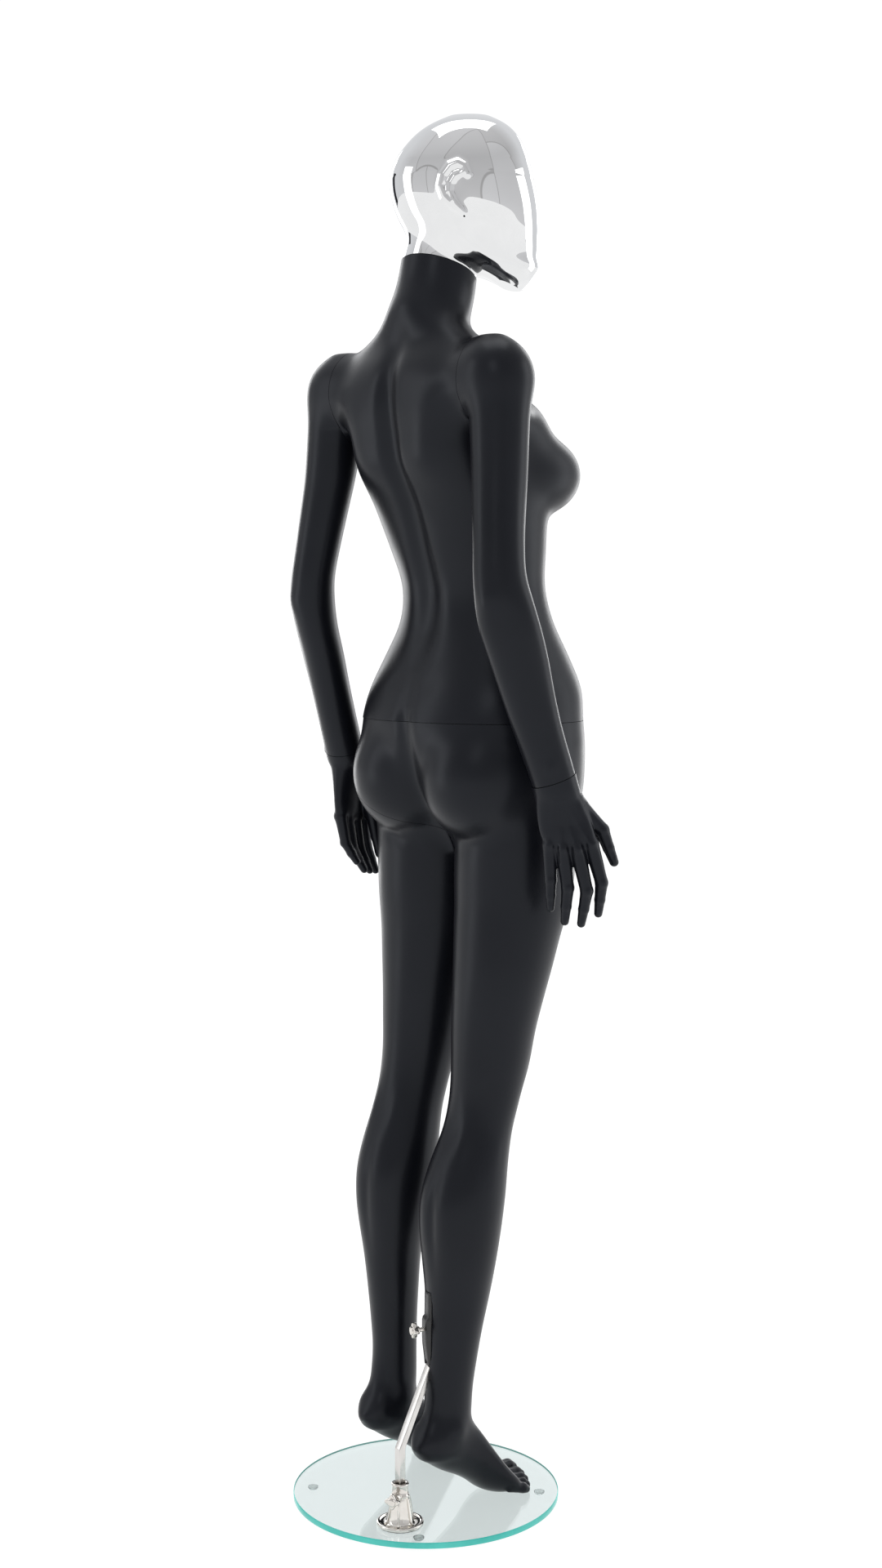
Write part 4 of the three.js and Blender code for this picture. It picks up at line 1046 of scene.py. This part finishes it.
def star_screw(name, body, cad, at, axis, tip, neck):
    lobes = lambda t: 1 + 0.21 * math.cos(4 * t) + 0.03 * math.cos(8 * t)
    bm = lathe([(7.0, neck + 3.2), (7.7, neck + 3.5), (8.15, neck + 4.3), (8.15, neck + 8.6),
                (7.7, neck + 9.4), (7.0, neck + 9.7), (4.6, neck + 9.9)], 96, at, axis, lobes)
    merge(bm, lathe([(4.8, neck), (5.3, neck + 0.5), (5.6, neck + 3.6), (5.6, neck + 9.8),
                     (5.2, neck + 11.2), (4.2, neck + 11.9), (2.0, neck + 12.1)], 48, at, axis))
    merge(bm, lathe([(2.2, tip), (2.9, tip + 0.8), (2.9, neck + 1)], 32, at, axis))
    thread = []
    turns, n = int((neck - tip - 4) / 1.25), 18
    for i in range(turns * n):
        t, h = 2 * math.pi * i / n, tip + 2 + 1.25 * i / n
        x, y, z = frame_of(axis)
        out = x * math.cos(t) + y * math.sin(t)
        thread.append([Vector(at) + out * r + z * (h + dh) for r, dh in
                       ((2.7, -0.4), (3.05, 0.0), (2.7, 0.4))])
    merge(bm, loft(thread))
    sharpen(bm, 36)
    piece(bm, name, body, nickel, [cad])


star_screw("spigot_star_knob", "spigot_screw", "spigot_star_screw",
           spigot_knob, spigot_dir, 7.2, 18.6)
star_screw("calf_star_knob", "calf_screw", "calf_star_screw",
           (-50, 35, 247), (0.35, 0.937, 0), 7.2, 17)


def rounded_square(c, h, r, n=4):
    ring = []
    for q in range(4):
        for i in range(n + 1):
            t = math.pi / 2 * (q + i / n)
            sx, sy = (1, -1, -1, 1)[q], (1, 1, -1, -1)[q]
            ring.append(Vector((c[0] + sx * (h - r) + r * math.cos(t), c[1] + sy * (h - r)
                                + r * math.sin(t), c[2])))
    return ring


path = [(-67, 103, 21), (-67, 103, 110.6), (-66.7, 101.9, 113.2), (-50.3, 36.1, 200.8),
        (-50, 35, 203.4), (-50, 35, 280)]
bm = loft([rounded_square(p, 4.95, 0.9) for p in path])
sharpen(bm, 30)
piece(bm, "cranked_bar", "bar", bar_mat, ["support_rod"])

rows = [(196, 6.8), (204, 7.6), (213, 8.6), (222, 9.8), (232, 10.3), (254, 10.2), (258, 9.2),
        (260, 7.0), (270, 6.7), (288, 6.6), (292, 6.2)]
rings = []
for z, out in rows:
    ring = []
    for a, b in ((-9, -11.5), (-8, -12), (8, -12), (9, -11.5), (9, out - 2), (8.2, out - 0.6),
                 (5, out), (-5, out), (-8.2, out - 0.6), (-9, out - 2)):
        ring.append((-50 + a * 0.937 + b * 0.35, 35 - a * 0.35 + b * 0.937, z + LIFT))
    rings.append(ring)
bm = loft(rings)
sharpen(bm, 38)
piece(bm, "calf_socket_block", "hips", moulded, ["calf_socket"])

# the CAD nodes that stay: washer, bolt, gasket and the bayonet fittings
for name, ob in nodes.items():
    if ob.hide_render:
        continue
    look_of = rubber if name == "spigot_gasket" else steel
    ob.data.materials.clear()
    ob.data.materials.append(look_of)
    soft = ob.modifiers.new("edges", "BEVEL")
    soft.width = 0.0003
    soft.segments = 2
    soft.limit_method = "ANGLE"
    soft.angle_limit = math.radians(40)

# ------------------------------------------------------------------ studio
world = bpy.data.worlds.new("studio")
bpy.context.scene.world = world
world.use_nodes = True
wt = world.node_tree


def world_node(kind, inputs=(), operation=None):
    """A node of the world; an input, by name or number, takes a value or another's output."""
    n = wt.nodes.new("ShaderNode" + kind)
    if operation:
        n.operation = operation
    for socket, value in dict(inputs).items():
        if isinstance(value, bpy.types.NodeSocket):
            wt.links.new(value, n.inputs[socket])
        else:
            n.inputs[socket].default_value = value
    return n


way = world_node("TexCoord").outputs["Generated"]
height = world_node("SeparateXYZ", {"Vector": way}).outputs["Z"]
halved = world_node("Math", {0: height, 1: 0.5, 2: 0.5}, "MULTIPLY_ADD").outputs[0]
sky = ramp(wt, halved, [(pos, (tone, tone, tone * 1.02)) for pos, tone in (
    (0.0, 0.80), (0.40, 0.74), (0.55, 0.66), (0.80, 0.58), (1.0, 0.74))])
# the hall behind the camera: panels and beams, seen only in reflections
hall = world_node("TexBrick", {
    "Vector": way, "Color1": (1.15, 1.15, 1.15, 1), "Color2": (0.72, 0.71, 0.70, 1),
    "Mortar": (0.60, 0.59, 0.58, 1), "Scale": 0.9, "Mortar Size": 0.012, "Mortar Smooth": 0.7,
    "Brick Width": 0.55, "Row Height": 0.8})
room = world_node("MixRGB", {"Fac": 0.75, "Color1": sky, "Color2": hall.outputs["Color"]})
room.blend_type = "MULTIPLY"
# the sweep behind the figure is white
toward = world_node("VectorMath", {0: way, 1: tuple(VIEW)}, "DOT_PRODUCT").outputs["Value"]
edge = world_node("MapRange", {"Value": toward, "From Min": -0.05, "From Max": 0.45})
sweep = world_node("MixRGB", {"Fac": edge.outputs["Result"], "Color1": room.outputs["Color"],
                              "Color2": (0.80, 0.81, 0.83, 1)})
# one dark doorway to the left of the sweep
beside = world_node("VectorMath", {0: way, 1: tuple(RIGHT)}, "DOT_PRODUCT").outputs["Value"]
left = world_node("Math", {0: beside, 1: -0.74, 2: 0.06}, "COMPARE").outputs[0]
ahead = world_node("Math", {0: toward, 1: 0.0, 2: 0}, "GREATER_THAN").outputs[0]
low = world_node("Math", {0: height, 1: 0.30, 2: 0}, "LESS_THAN").outputs[0]
door = world_node("Math", {0: left, 1: ahead}, "MULTIPLY").outputs[0]
door = world_node("Math", {0: door, 1: low}, "MULTIPLY").outputs[0]
opening = world_node("MixRGB", {"Fac": door, "Color1": sweep.outputs["Color"],
                                "Color2": (0.02, 0.02, 0.025, 1)})
# the camera itself sees a plain white background
camera_ray = world_node("LightPath").outputs["Is Camera Ray"]
mix = world_node("MixRGB", {"Fac": camera_ray, "Color1": opening.outputs["Color"],
                            "Color2": (1.05, 1.05, 1.05, 1)})
wt.links.new(mix.outputs["Color"], wt.nodes["Background"].inputs["Color"])


def softbox(name, place, target, width, height, power):
    data = bpy.data.lights.new(name, "AREA")
    data.shape = "RECTANGLE"
    data.size, data.size_y = width, height
    data.energy = power
    ob = bpy.data.objects.new(name, data)
    bpy.context.scene.collection.objects.link(ob)
    ob.location = place
    ob.rotation_euler = (Vector(target) - Vector(place)).to_track_quat("-Z", "Y").to_euler()


def from_camera(right, depth, height):
    """A place given by the camera's right, its line of sight and height, from the figure."""
    return RIGHT * right + VIEW * depth + Vector((0, 0, height))


mid = (0, 0, 1.0)
softbox("left_bank", from_camera(-2.2, -0.2, 1.5), mid, 0.7, 2.4, 7)
softbox("right_bank", from_camera(2.2, 0.3, 1.4), mid, 0.9, 2.4, 9)
softbox("back_left", from_camera(-1.3, 2.4, 1.6), mid, 0.8, 2.6, 15)
softbox("back_right", from_camera(1.4, 2.3, 1.6), mid, 0.8, 2.6, 15)
softbox("top", from_camera(0.0, 0.2, 3.4), mid, 1.6, 1.2, 9)
softbox("front_high", from_camera(-0.7, -2.6, 2.9), mid, 0.8, 0.8, 4)

bm = bmesh.new()
bmesh.ops.create_grid(bm, x_segments=24, y_segments=24, size=30)
floor_me = bpy.data.meshes.new("floor")
bm.to_mesh(floor_me)
bm.free()
floor = bpy.data.objects.new("floor", floor_me)
bpy.context.scene.collection.objects.link(floor)
floor.location = (0, 0, -0.0006)
pale, nt, sh = material("pale_floor")
tone = ramp(nt, noise(nt, 0.8, 3), [(0.3, grey(0.16)), (0.7, grey(0.18))])
nt.links.new(tone, sh.inputs["Base Color"])
sh.inputs["Roughness"].default_value = 0.7
sh.inputs["Specular IOR Level"].default_value = 0.2
glow = ramp(nt, noise(nt, 0.8, 3), [(0.3, grey(0.985)), (0.7, grey(1.0))])
nt.links.new(glow, sh.inputs["Emission Color"])
sh.inputs["Emission Strength"].default_value = 0.93
floor_me.materials.append(pale)
floor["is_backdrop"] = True

view = bpy.context.scene.view_settings
view.view_transform = "Standard"
view.look = "None"

visual_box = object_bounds()


def plain(v):
    if isinstance(v, dict):
        return {k: plain(w) for k, w in v.items()}
    if isinstance(v, (list, tuple)) or hasattr(v, "to_tuple") or hasattr(v, "tolist"):
        return [plain(w) for w in v]
    return float(v)


{"cad": plain(cad_box), "visual": plain(visual_box)}
